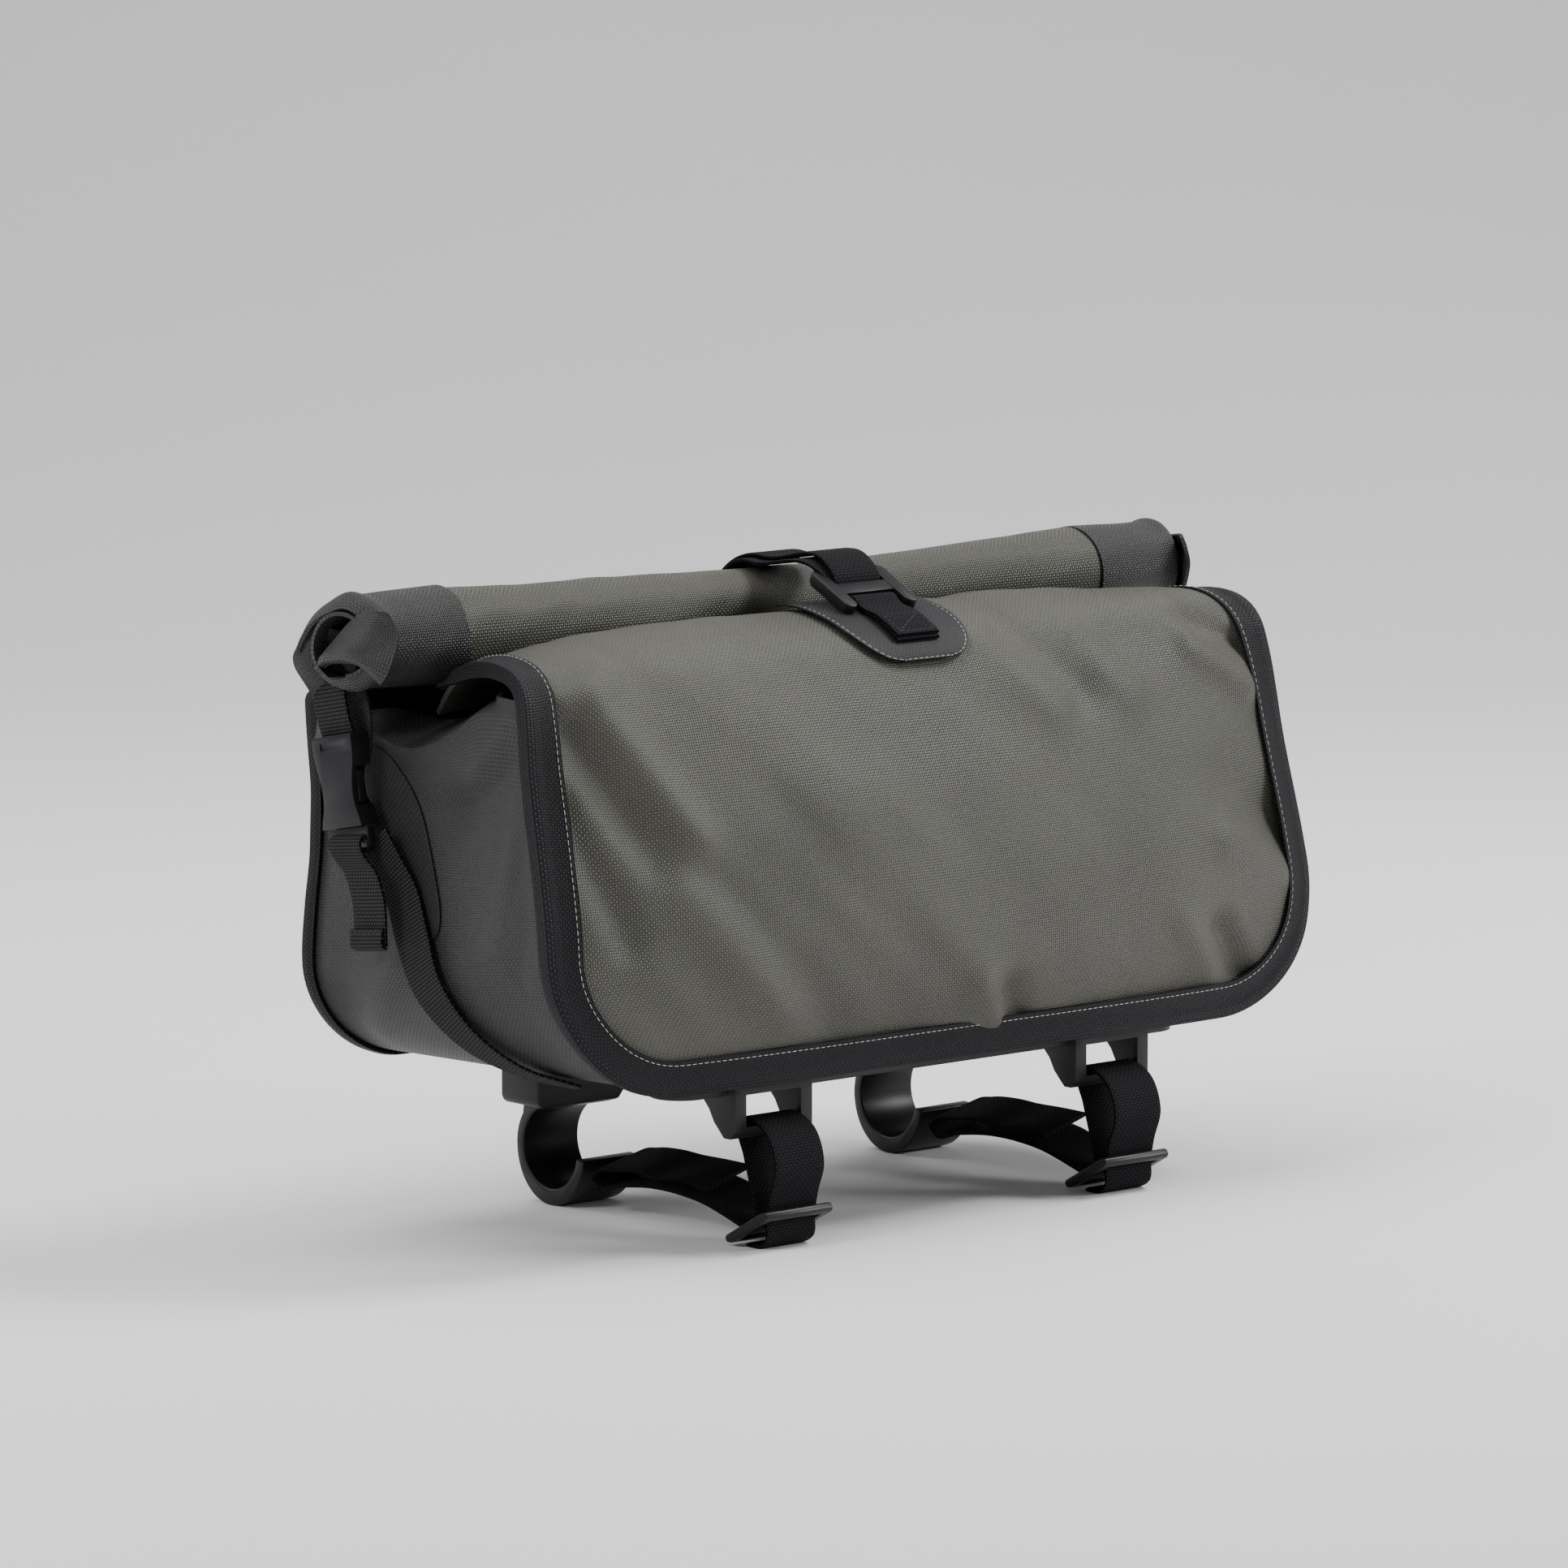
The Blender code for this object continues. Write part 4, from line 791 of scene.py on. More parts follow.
def tape_grid(point, top, count, reaches):
    """Centre surface of the tape: its lip round the seam, its turn, then its leg on the panel."""
    places = tape_edge(point, top, count)
    edge = np.array([point(share, x) for share, x in places])
    ways = np.gradient(edge, axis=0)
    ways /= np.linalg.norm(ways, axis=1, keepdims=True)
    back = 1.0 if point is front_point else -1.0
    grid = []
    for (share, x_share), spot, way in zip(places, edge, ways):
        outward = np.array([way[2] + np.sign(x_share) * way[1] ** 2, 0.0, -way[0]])
        outward /= np.linalg.norm(outward)
        lip = np.cross(way, outward) * back
        lip /= np.linalg.norm(lip)
        line = []
        for reach in reaches:
            if reach <= 0.0:
                line.append(spot - lip * reach + outward * TAPE_PROUD - lip * TAPE_PROUD * (reach == 0.0))
                continue
            if spot[2] - BASE_Z < corner_of(point):
                spot_in = spot - outward * reach
                place = on_panel(point, spot_in[0], spot_in[2])
                away = -lip
            else:
                inner = x_share * (1.0 - reach / abs(spot[0]))
                place = point(share, inner)
                away = -lip if share < 0.55 else way_out(point, share, inner)
            line.append(place + away * TAPE_PROUD)
        grid.append(line)
    return np.array(grid)


TAPE_REACHES = (-4.0, -2.6, -1.2, 0.0, 1.4, 3.0, 5.0, 7.0, 9.0, 10.8, 12.5)
TAPE_RELIEF = (0.0, 0.2, 0.6, 0.9, 0.7, 0.2, 0.0, 0.0, 0.0, 0.05, 0.0)


def tape(name, point, node, top):
    """Welded tape round three sides of a panel, a little proud along its seam."""
    grid = tape_grid(point, top, 120, TAPE_REACHES)
    out = normals(grid)
    back = 1.0 if point is front_point else -1.0
    middle = out[len(grid) // 2, 7]
    sign = -np.sign(middle[1]) * back
    wander = lattice_noise(np.arange(len(grid)) / 16.0 + 5.0, np.full(len(grid), 2.5), 41)
    relief = np.array(TAPE_RELIEF)[None, :] * (1.0 + 0.4 * wander[:, None])
    grid = grid + out * sign * relief[:, :, None]
    return skin(name, grid, sign * BINDING_THICK, TAPE, (node,)), grid, out * sign


def stitch_row(name, line, outs, mat, length=2.0, gap=0.9, thick=0.17):
    """Stitches along a line: short arched threads lying on the cloth."""
    line = np.asarray(line, float)
    steps = np.linalg.norm(np.diff(line, axis=0), axis=1)
    along = np.concatenate([[0.0], np.cumsum(steps)])
    verts = []
    faces = []
    ring = 5
    for start in np.arange(0.3, along[-1] - length, length + gap):
        base = len(verts)
        for t in np.linspace(0.0, 1.0, 5):
            at = start + length * t
            spot = np.array([np.interp(at, along, line[:, k]) for k in range(3)])
            out = np.array([np.interp(at, along, outs[:, k]) for k in range(3)])
            ahead = np.array([np.interp(at + 0.3, along, line[:, k]) for k in range(3)]) - spot
            ahead /= max(np.linalg.norm(ahead), 1e-9)
            over = np.cross(out, ahead)
            arch = thick * (0.15 + 0.75 * math.sin(math.pi * t))
            radius = thick * (0.55 + 0.45 * math.sin(math.pi * t))
            for turn in np.linspace(0.0, 2 * math.pi, ring, endpoint=False):
                verts.append((spot + out * (arch + radius * math.sin(turn)) + over * radius * math.cos(turn)) * MM)
        for i in range(4):
            for j in range(ring):
                a = base + i * ring + j
                b = base + i * ring + (j + 1) % ring
                faces.append((a, b, b + ring, a + ring))
        faces.append(tuple(base + j for j in range(ring))[::-1])
        faces.append(tuple(base + 4 * ring + j for j in range(ring)))
    mesh = bpy.data.meshes.new(name)
    mesh.from_pydata([tuple(v) for v in verts], [], faces)
    return finish_piece(name, mesh, mat, (), 60.0)


def spiral(xs, steps, wrinkle):
    """Rolled cloth between the given X places: the outer layer comes up from the back."""
    angle = np.linspace(ROLL_START, ROLL_START + 360.0 * ROLL_TURNS, steps)[None, :]
    x = np.asarray(xs, float)[:, None]
    outer = flap_radius(np.minimum(angle, 300.0), x)
    radius = outer - ROLL_PITCH * (angle - ROLL_START) / 360.0
    late = np.clip((angle - 300.0) / 60.0, 0.0, 1.0)
    plain = roll_radius(x) - ROLL_PITCH * (angle - ROLL_START) / 360.0
    radius = radius + (plain - radius) * late
    radius = radius + wrinkle(x, angle) * ease((350.0 - angle) / 90.0)
    turn = np.radians(angle)
    x = x - np.sign(x) * ROLL_SLANT * flap_share(x) * (1.0 - np.cos(turn)) / 2
    return np.stack(np.broadcast_arrays(x, ROLL_Y + radius * np.cos(turn), ROLL_Z + radius * np.sin(turn)), axis=2)


def roll_wrinkle(x, angle):
    """Slack of the rolled cloth: long shallow waves along it and small diagonal pulls."""
    long_wave = lattice_noise(x / 70.0 + 12.0, angle / 38.0 + 9.0, 51) * 0.7
    pull = lattice_noise(x / 16.0 + angle / 30.0 + 20.0, angle / 60.0 - x / 90.0 + 20.0, 52) * 0.35
    return long_wave + pull


def roll_top():
    """Olive middle of the rolled mouth."""
    xs = np.linspace(-ROLL_SEAM_X, ROLL_SEAM_X, 200)
    grid = spiral(xs, 110, roll_wrinkle)
    return skin("roll_cloth", grid, ROLL_WALL, OLIVE, ("roll_top",))


def roll_end(name, side, node):
    """Dark end of the roll, widening into a folded flap."""
    xs = side * np.linspace(ROLL_SEAM_X - 1.0, ROLL_LENGTH / 2, 64)
    grid = spiral(xs, 130, lambda x, a: roll_wrinkle(x * 1.4, a) + 0.5 + rolled_lip(np.abs(x)))
    skin(name, grid, side * ROLL_WALL, DARK, (node,))
    for word, table in (("flap", ROLL_FLAP), ("skirt", ROLL_SKIRT)):
        rows = np.array(table, float)
        rows = resample(resample(rows, 40), 44, 1)
        noise = lattice_noise(rows[:, :, 1] / 9.0 + 20.0, rows[:, :, 2] / 9.0 + 5.0, 61) * 0.45
        x = side * (-rows[:, :, 0] + noise)
        grid = np.stack([x, rows[:, :, 1] + FOLD_SHIFT, rows[:, :, 2] + BASE_Z - FOLD_BASE], axis=2)
        skin(f"{name}_{word}", grid, 1.5, DARK, ())


def rolled_lip(reach):
    """Rounded lip at the roll's open end: the cloth swells a little, then curls inwards."""
    swell = 1.4 * np.exp(-((reach - 213.0) / 3.6) ** 2)
    curl = np.clip((reach - 214.5) / 5.5, 0.0, 1.0) ** 2 * 4.2
    return swell - curl


def resample(rows, count, axis=0):
    """A table of points read smoothly at an even count of places along one axis."""
    places = np.linspace(0.0, rows.shape[axis] - 1.0, count)
    return np.apply_along_axis(lambda line: smooth(range(len(line)), line, places), axis, rows)


FOLD_BASE = 67.0
FOLD_SHIFT = BODY_FRONT + 62.0
ROLL_FLAP = (
    # rows from the top of the folded flap to its arched lower lip: x, y and z of four points each
    ((-212.5, 46.0, 248.0), (-214.0, 41.0, 249.2), (-214.0, 36.0, 249.8), (-211.0, 31.0, 249.3)),
    ((-215.0, 51.0, 242.5), (-216.6, 43.0, 243.5), (-216.6, 35.0, 244.3), (-210.5, 27.5, 244.0)),
    ((-216.4, 57.0, 236.5), (-218.0, 48.0, 238.0), (-217.6, 38.0, 238.5), (-210.5, 26.0, 239.0)),
    ((-217.0, 63.0, 230.8), (-219.0, 55.0, 233.5), (-218.4, 44.0, 234.2), (-211.0, 27.5, 233.0)),
    ((-216.6, 68.5, 225.5), (-219.4, 59.5, 230.2), (-218.0, 43.5, 231.2), (-212.0, 31.0, 225.5)),
    ((-214.6, 68.0, 224.6), (-216.6, 59.3, 228.8), (-215.4, 43.5, 229.2), (-212.4, 34.0, 221.5)),
)
ROLL_SKIRT = (
    # rows from the roll's outer layer down to the gusset's back corner: x, y and z of four points each
    ((-214.0, 70.0, 243.0), (-213.0, 66.5, 241.5), (-209.0, 62.0, 240.0), (-204.0, 58.0, 239.0)),
    ((-217.0, 80.5, 232.5), (-214.5, 76.0, 230.0), (-207.5, 69.0, 228.5), (-203.0, 61.0, 227.0)),
    ((-216.0, 83.5, 226.0), (-213.0, 78.0, 223.0), (-206.0, 69.0, 222.0), (-202.0, 60.0, 220.0)),
    ((-212.5, 82.0, 218.0), (-209.5, 77.0, 216.5), (-204.0, 68.0, 216.0), (-200.5, 58.0, 214.0)),
    ((-209.0, 80.0, 210.0), (-206.0, 75.0, 209.5), (-202.0, 67.0, 209.0), (-199.5, 57.0, 207.0)),
    ((-204.5, 84.0, 201.0), (-203.0, 77.0, 200.0), (-200.5, 67.0, 200.0), (-199.0, 57.0, 199.0)),
    ((-199.5, 93.0, 191.5), (-199.3, 82.0, 190.5), (-198.9, 70.0, 190.5), (-198.6, 58.0, 191.0)),
)


PATCH_WIDTH = 62.0
PATCH_X = 8.5
PATCH = (
    # share along the front panel's profile, share of PATCH_WIDTH
    (0.83, 1.00),
    (0.78, 1.00),
    (0.73, 1.00),
    (0.68, 1.00),
    (0.64, 0.97),
    (0.605, 0.86),
    (0.58, 0.66),
    (0.57, 0.40),
)


def panel_at(point, x, share):
    """Point of a panel at X and at a share of its profile, and the way out from it."""
    half = float(point(share, 1.0)[0])
    return point(share, x / half), way_out(point, share, x / half)


def patch_grid(inset, count, columns, lift):
    """Points of the centre patch's outer face, drawn in by an inset at its edge."""
    steps = np.linspace(0.0, len(PATCH) - 1.0, count)
    shares = smooth(range(len(PATCH)), column(PATCH, 0), steps)
    spreads = smooth(range(len(PATCH)), column(PATCH, 1), steps)
    grid = []
    for share, spread in zip(shares, spreads):
        line = []
        for across in np.linspace(-0.5, 0.5, columns):
            x = PATCH_X + across * (PATCH_WIDTH * spread - 2 * inset)
            place, out = panel_at(front_point, x, share)
            line.append(place + out * lift)
        grid.append(line)
    return np.array(grid)


def centre_patch():
    """Dark patch with a round end, welded on the shoulder under the hook buckle."""
    grid = patch_grid(0.0, 44, 40, GAP * 2 + 0.5)
    skin("patch_cloth", grid, 0.8, PATCH_CLOTH, ("centre_patch",))
    rim = np.concatenate([grid[:, 1], grid[-2, 2:-2], grid[::-1, -2]])
    outs = np.tile([0.0, -0.6, 0.8], (len(rim), 1))
    stitch_row("patch_stitches", rim + outs * 0.7, outs, PALE_THREAD)


PATCH_LINE = (
    # height share, centre depth share, half width
    (0.74, 0.80, 7.0),
    (0.72, 0.78, 12.0),
    (0.66, 0.73, 17.0),
    (0.54, 0.665, 18.0),
    (0.42, 0.60, 16.0),
    (0.35, 0.57, 12.0),
    (0.31, 0.56, 5.0),
)


def side_patch(name, side, node):
    """Thin welded patch on the gusset behind the buckle."""
    steps = np.linspace(0.0, len(PATCH_LINE) - 1.0, 50)
    share = smooth(range(len(PATCH_LINE)), column(PATCH_LINE, 0), steps)[:, None]
    depth = smooth(range(len(PATCH_LINE)), column(PATCH_LINE, 1), steps)[:, None]
    spread = smooth(range(len(PATCH_LINE)), column(PATCH_LINE, 2), steps)[:, None]
    y = BODY_FRONT + BODY_DEPTH * depth + spread * np.linspace(-1.0, 1.0, 24)[None, :]
    span = back_edge_y(share) - front_edge_y(share)
    swell = gusset_swell(share, (y - front_edge_y(share)) / span)
    z = BASE_Z + SHOULDER_RISE * share
    relief = fold_lines(GUSSET_FOLDS, y - BODY_FRONT, z - BASE_Z)
    relief = relief + lattice_noise((y - BODY_FRONT) / 26.0 + 7.0, (z - BASE_Z) / 26.0 + side + 2.0, 21) * 0.7
    half = half_length(share, corner_radius((y - BODY_FRONT) / BODY_DEPTH))
    x = side * (half + GAP + swell + relief)
    grid = np.stack(np.broadcast_arrays(x, y, z), axis=2)
    return skin(name, grid, side * 0.45, PATCH_CLOTH, (node,))


front_panel()
back_panel()
base_panel()
for name, point, node, top in (("front_tape", front_point, "binding_front", 0.95),
                               ("back_tape", back_point, "binding_back", 0.945)):
    piece, grid, outs = tape(name, point, node, top)
    stitch_row(name + "_stitches", grid[:, -2] + outs[:, -2] * BINDING_THICK, outs[:, -2], PALE_THREAD)
roll_top()
centre_patch()
for word, side in (("left", -1), ("right", 1)):
    gusset(f"gusset_{word}", side, f"end_panel_{word}")
    roll_end(f"roll_cuff_{word}", side, f"roll_end_{word}")
    side_patch(f"side_badge_{word}", side, f"side_patch_{word}")


# Hard parts under the base
MOUNT_SPREAD = 90.3
RAIL_WIDTH = 24.0
RAIL_THICK = 7.0
HOOK_BORE = 33.0
HOOK_WALL = 4.6
HOOK_FOOT = 2.2
HOOK_WIDTH = 28.5
BRACKET_WIDTH = 40.0
BRACKET_DROP = 17.0
BRACKET_SLOT = 28.0
BRACKET_DEPTH = 13.0
LOCK_WIDTH = 35.0
LOCK_LENGTH = 27.0
LOCK_THICK = 4.0
LOCK_TILT = math.radians(29.0)
HOOK_OPEN_FROM = 100.0
HOOK_OPEN_TO = 188.0
RAIL_REAR_LOW, RAIL_REAR_HIGH = cad_box("rail_rear")
HOOK_Y = (RAIL_REAR_LOW[1] + RAIL_REAR_HIGH[1]) / 2
REAR_HALF = RAIL_REAR_HIGH[0]
HOOK_OUTER = HOOK_BORE / 2 + HOOK_WALL
HOOK_Z = HOOK_OUTER + HOOK_FOOT
RAIL_BOTTOM = RAIL_TOP - RAIL_THICK
FRONT_RAIL_Y = BODY_FRONT + 24.0
LOCK_Y = BRACKET_FRONT - 3.0
LOCK_Z = LOCK_LENGTH / 2 * math.sin(LOCK_TILT) + LOCK_THICK / 2 * math.cos(LOCK_TILT) + 0.4


def rounded(name, verts, faces, mat, slot, nodes, bevel, segments=3, cuts=(), joins=()):
    """Solid moulding with rounded edges; cuts and joins are helper solids."""
    mesh = bpy.data.meshes.new(name)
    mesh.from_pydata([tuple(float(c) * MM for c in v) for v in verts], [], faces)
    bm = bmesh.new()
    bm.from_mesh(mesh)
    bmesh.ops.recalc_face_normals(bm, faces=bm.faces)
    bm.to_mesh(mesh)
    bm.free()
    helper = bpy.data.objects.new(name, mesh)
    bpy.context.collection.objects.link(helper)
    for operation, solids in (("UNION", joins), ("DIFFERENCE", cuts)):
        for solid in solids:
            mod = helper.modifiers.new("join", "BOOLEAN")
            mod.operation = operation
            mod.object = solid
    edge = helper.modifiers.new("edge", "BEVEL")
    edge.width = bevel * MM
    edge.segments = segments
    edge.limit_method = "ANGLE"
    edge.angle_limit = math.radians(34.0)
    edge.harden_normals = False
    graph = bpy.context.evaluated_depsgraph_get()
    done = bpy.data.meshes.new_from_object(helper.evaluated_get(graph))
    for old in (helper, *cuts, *joins):
        bpy.data.objects.remove(old, do_unlink=True)
    done.materials.clear()
    return finish_piece(name, done, mat, nodes, 38.0)


def swept(outline, low, high, axis):
    """Corner points and faces of an outline swept along X, Y or Z between low and high."""
    verts = []
    for level in (low, high):
        for a, b in outline:
            verts.append({"X": (level, a, b), "Y": (a, level, b), "Z": (a, b, level)}[axis])
    n = len(outline)
    faces = [tuple(range(n)), tuple(range(n, 2 * n))]
    faces += [(i, (i + 1) % n, n + (i + 1) % n, n + i) for i in range(n)]
    return verts, faces


def block(low, high):
    """Helper box between two corners, in millimetres."""
    verts, faces = swept(((low[0], low[1]), (high[0], low[1]), (high[0], high[1]), (low[0], high[1])),
                         low[2], high[2], "Z")
    return solid(verts, faces)


def solid(verts, faces):
    """Helper solid that is cut from or joined to a moulding."""
    mesh = bpy.data.meshes.new("helper")
    mesh.from_pydata([tuple(float(c) * MM for c in v) for v in verts], [], faces)
    bm = bmesh.new()
    bm.from_mesh(mesh)
    bmesh.ops.recalc_face_normals(bm, faces=bm.faces)
    bm.to_mesh(mesh)
    bm.free()
    helper = bpy.data.objects.new("helper", mesh)
    bpy.context.collection.objects.link(helper)
    return helper


def arc(cy, cz, radius, start, end, count):
    """Points on a circle between two angles in degrees."""
    turns = np.radians(np.linspace(start, end, count))
    return [(cy + radius * math.cos(t), cz + radius * math.sin(t)) for t in turns]


def front_rail():
    """Front rail with its two slotted brackets."""
    half = RAIL_FRONT_HIGH[0]
    r = RAIL_WIDTH / 2
    outline = arc(half - r, FRONT_RAIL_Y, r, -90.0, 90.0, 20) + arc(-half + r, FRONT_RAIL_Y, r, 90.0, 270.0, 20)
    verts, faces = swept(outline, RAIL_BOTTOM, RAIL_TOP, "Z")
    joins = []
    cuts = []
    back = BRACKET_FRONT + BRACKET_DEPTH
    low = RAIL_BOTTOM - BRACKET_DROP
    side_view = [(BRACKET_FRONT + 0.1, RAIL_TOP - 1.0), (BRACKET_FRONT + 0.1, low + 3.0), (BRACKET_FRONT + 3.0, low + 0.2),
                 (BRACKET_FRONT + 7.0, low + 0.2)]
    side_view += [(back, low + 6.0), (back + 3.0, low + 11.0), (back + 9.0, RAIL_BOTTOM), (back + 9.0, RAIL_TOP - 1.0)]
    for side in (-1, 1):
        x = side * MOUNT_SPREAD
        s = BRACKET_SLOT / 2
        w = BRACKET_WIDTH / 2
        joins.append(solid(*swept(side_view, x - w, x + w, "X")))
        cuts.append(block((x - s, BRACKET_FRONT - 2.0, low + 5.0), (x + s, back + 20.0, RAIL_BOTTOM + 0.5)))
        cuts.append(block((x - s, BRACKET_FRONT + 5.0, low - 2.0), (x + s, back + 20.0, low + 6.0)))
    rounded("front_rail", verts, faces, PLASTIC, "black_plastic", ("rail_front",), 1.1, 3, cuts, joins)


def rear_rail():
    """Rear rail: a beam with two deep pads over the hooks."""
    low = RAIL_REAR_LOW[2]
    inner = REAR_HALF - 46.0
    end = [(REAR_HALF - 1.5, RAIL_TOP), (REAR_HALF, RAIL_TOP - 2.0), (REAR_HALF, low + 4.0)]
    end += arc(REAR_HALF - 4.0, low + 4.0, 4.0, -10.0, -80.0, 5)
    end += [(REAR_HALF - 4.0, low), (inner + 4.0, low), (inner, low + 5.0), (inner - 4.0, RAIL_BOTTOM - 1.0)]
    outline = end[::-1] + [(-x, z) for x, z in end]
    verts, faces = swept(outline, RAIL_REAR_LOW[1], RAIL_REAR_HIGH[1], "Y")
    rounded("rear_rail", verts, faces, PLASTIC, "black_plastic", ("rail_rear",), 2.0, 4)


def c_hook(name, side, node):
    """Open C hook, thicker below, with its neck against the rear pad."""
    bore = HOOK_BORE / 2
    neck = RAIL_REAR_LOW[2] - GAP
    outline = arc(HOOK_Y, HOOK_Z, bore, HOOK_OPEN_FROM, HOOK_OPEN_TO - 360.0, 60)
    for turn in np.radians(np.linspace(HOOK_OPEN_TO - 360.0, 35.0, 50)):
        r = HOOK_OUTER + HOOK_FOOT * max(0.0, -math.sin(turn)) ** 2
        outline.append((HOOK_Y + r * math.cos(turn), HOOK_Z + r * math.sin(turn)))
    outline.append((HOOK_Y + HOOK_OUTER * 0.78, neck))
    outline.append((HOOK_Y - HOOK_OUTER * 0.45, neck))
    x = side * MOUNT_SPREAD
    verts, faces = swept(outline, x - HOOK_WIDTH / 2, x + HOOK_WIDTH / 2, "X")
    rounded(name, verts, faces, SMOOTH_PLASTIC, "black_plastic", (node,), 0.8, 3)


def lock_point(side, along, up):
    """Point in the ladder lock's frame: along is towards its low back edge."""
    y = LOCK_Y + along * math.cos(LOCK_TILT) + up * math.sin(LOCK_TILT)
    z = LOCK_Z - along * math.sin(LOCK_TILT) + up * math.cos(LOCK_TILT)
    return side * MOUNT_SPREAD, y, z


def turned_solid(verts, faces, turn, spot):
    """Helper solid tilted about X and moved to its place."""
    c, s = math.cos(turn), math.sin(turn)
    moved = [(spot[0] + x, spot[1] + y * c - z * s, spot[2] + y * s + z * c) for x, y, z in verts]
    return moved, faces


def ladder_lock(name, side, node):
    """Flat slotted buckle at the front foot, tilted with its back edge low."""
    reach = LOCK_LENGTH / 2
    t = LOCK_THICK / 2
    w = LOCK_WIDTH / 2
    spot = (side * MOUNT_SPREAD, LOCK_Y, LOCK_Z)
    outline = [(-reach, -t * 0.6), (-reach + 1.5, -t), (reach * 0.8, -t), (reach, -t * 0.4), (reach, t * 0.7),
               (reach - 1.2, t), (-reach * 0.9, t), (-reach, t * 0.5)]
    body = turned_solid(*swept(outline, -w, w, "X"), -LOCK_TILT, spot)
    s = WIDE_WEB / 2 + 0.8
    cuts = []
    for low, high in ((-reach + 3.0, -reach + 9.0), (reach - 10.0, reach - 4.5)):
        outline = ((-s, low), (s, low), (s, high), (-s, high))
        cuts.append(solid(*turned_solid(*swept(outline, -t - 2.0, t + 2.0, "Z"), -LOCK_TILT, spot)))
    rounded(name, *body, SMOOTH_PLASTIC, "black_plastic", (node,), 0.7, 3, cuts)


def foot_loop(name, side, node):
    """Webbing loop: under the lock on the floor, up its front slot, over the bracket bar, and back."""
    x = side * MOUNT_SPREAD
    floor = WEB_THICK / 2
    bar = RAIL_BOTTOM - BRACKET_DROP + 5.0
    points = (
        (x, LOCK_Y + 5.0, floor),
        (x, LOCK_Y - 1.5, floor),
        (x, LOCK_Y - 6.0, floor + 2.8),
        lock_point(side, -LOCK_LENGTH / 2 + 6.0, 0.0),
        (x, LOCK_Y - 8.3, LOCK_Z + 12.0),
        (x, LOCK_Y - 12.0, LOCK_Z + 24.0),
        (x, LOCK_Y - 6.5, bar - 2.0),
        (x, BRACKET_FRONT + 0.5, bar + 2.6),
        (x, BRACKET_FRONT + 4.0, bar + 2.8),
        (x, BRACKET_FRONT + 6.8, bar - 1.5),
        (x, BRACKET_FRONT + 3.5, bar - 12.0),
        (x, LOCK_Y + 1.0, LOCK_Z + 10.0),
        (x, LOCK_Y - 0.5, LOCK_Z + 4.6),
    )
    webbing(name, points, WIDE_WEB, (1.0, 0.0, 0.0), (node,))


FOOT_STRAP = (
    # share of the way from the lock to the hook, height above the floor, rise across the width
    (0.00, 7.6, 0.00),
    (0.12, 12.0, 0.10),
    (0.25, 16.0, 0.20),
    (0.40, 17.8, 0.22),
    (0.60, 18.0, 0.22),
    (0.80, 15.6, 0.20),
    (0.955, 12.8, 0.15),
    (0.985, 16.0, 0.18),
    (0.955, 19.6, 0.22),
    (0.85, 21.8, 0.26),
    (0.68, 23.2, 0.24),
    (0.56, 22.4, 0.28),
    (0.40, 23.2, 0.22),
    (0.24, 22.2, 0.30),
)


def foot_strap(name, side, node):
    """Webbing from the lock back to the hook's front, doubled back into a free tail."""
    x = side * MOUNT_SPREAD
    start = LOCK_Y + LOCK_LENGTH / 2 * 0.62
    reach = HOOK_Y - HOOK_OUTER - 1.6 - start
    points = [(x, start + reach * share, z) for share, z, rise in FOOT_STRAP]
    across = [(1.0, 0.0, rise) for share, z, rise in FOOT_STRAP]
    webbing(name, points, WIDE_WEB, across, (node,))


front_rail()
rear_rail()
for word, side in (("left", -1), ("right", 1)):
    c_hook(f"c_hook_{word}", side, f"hook_{word}")
    ladder_lock(f"lock_{word}", side, f"ladder_lock_{word}")
    foot_loop(f"foot_web_{word}", side, f"foot_loop_{word}")
    foot_strap(f"foot_band_{word}", side, f"foot_strap_{word}")


# Webbing and buckles
BUCKLE_WIDTH = 25.0
BUCKLE_LENGTH = 36.0
BUCKLE_THICK = 9.0
BUCKLE_X = HALF + 2.6 + BUCKLE_THICK / 2
BUCKLE_Y = ROLL_Y + 10.0
BUCKLE_Z = SHOULDER_Z - 56.5
BUCKLE_TILT = math.radians(11.0)
FEMALE_SIDE = (
    # height share of half the length, share of half the width
    (1.00, 1.00),
    (0.75, 1.00),
    (0.45, 0.95),
    (0.15, 0.84),
    (-0.10, 0.77),
    (-0.35, 0.76),
    (-0.60, 0.82),
    (-0.80, 0.93),
    (-1.00, 1.00),
)


def buckle_part(verts_faces, side):
    """Corner points and faces of a side buckle's part, turned and moved to its place."""
    return turned_solid(*verts_faces, -BUCKLE_TILT, (side * BUCKLE_X, BUCKLE_Y, BUCKLE_Z))


def box_outline(low, high):
    """Four corners of a rectangle."""
    return (low[0], low[1]), (high[0], low[1]), (high[0], high[1]), (low[0], high[1])


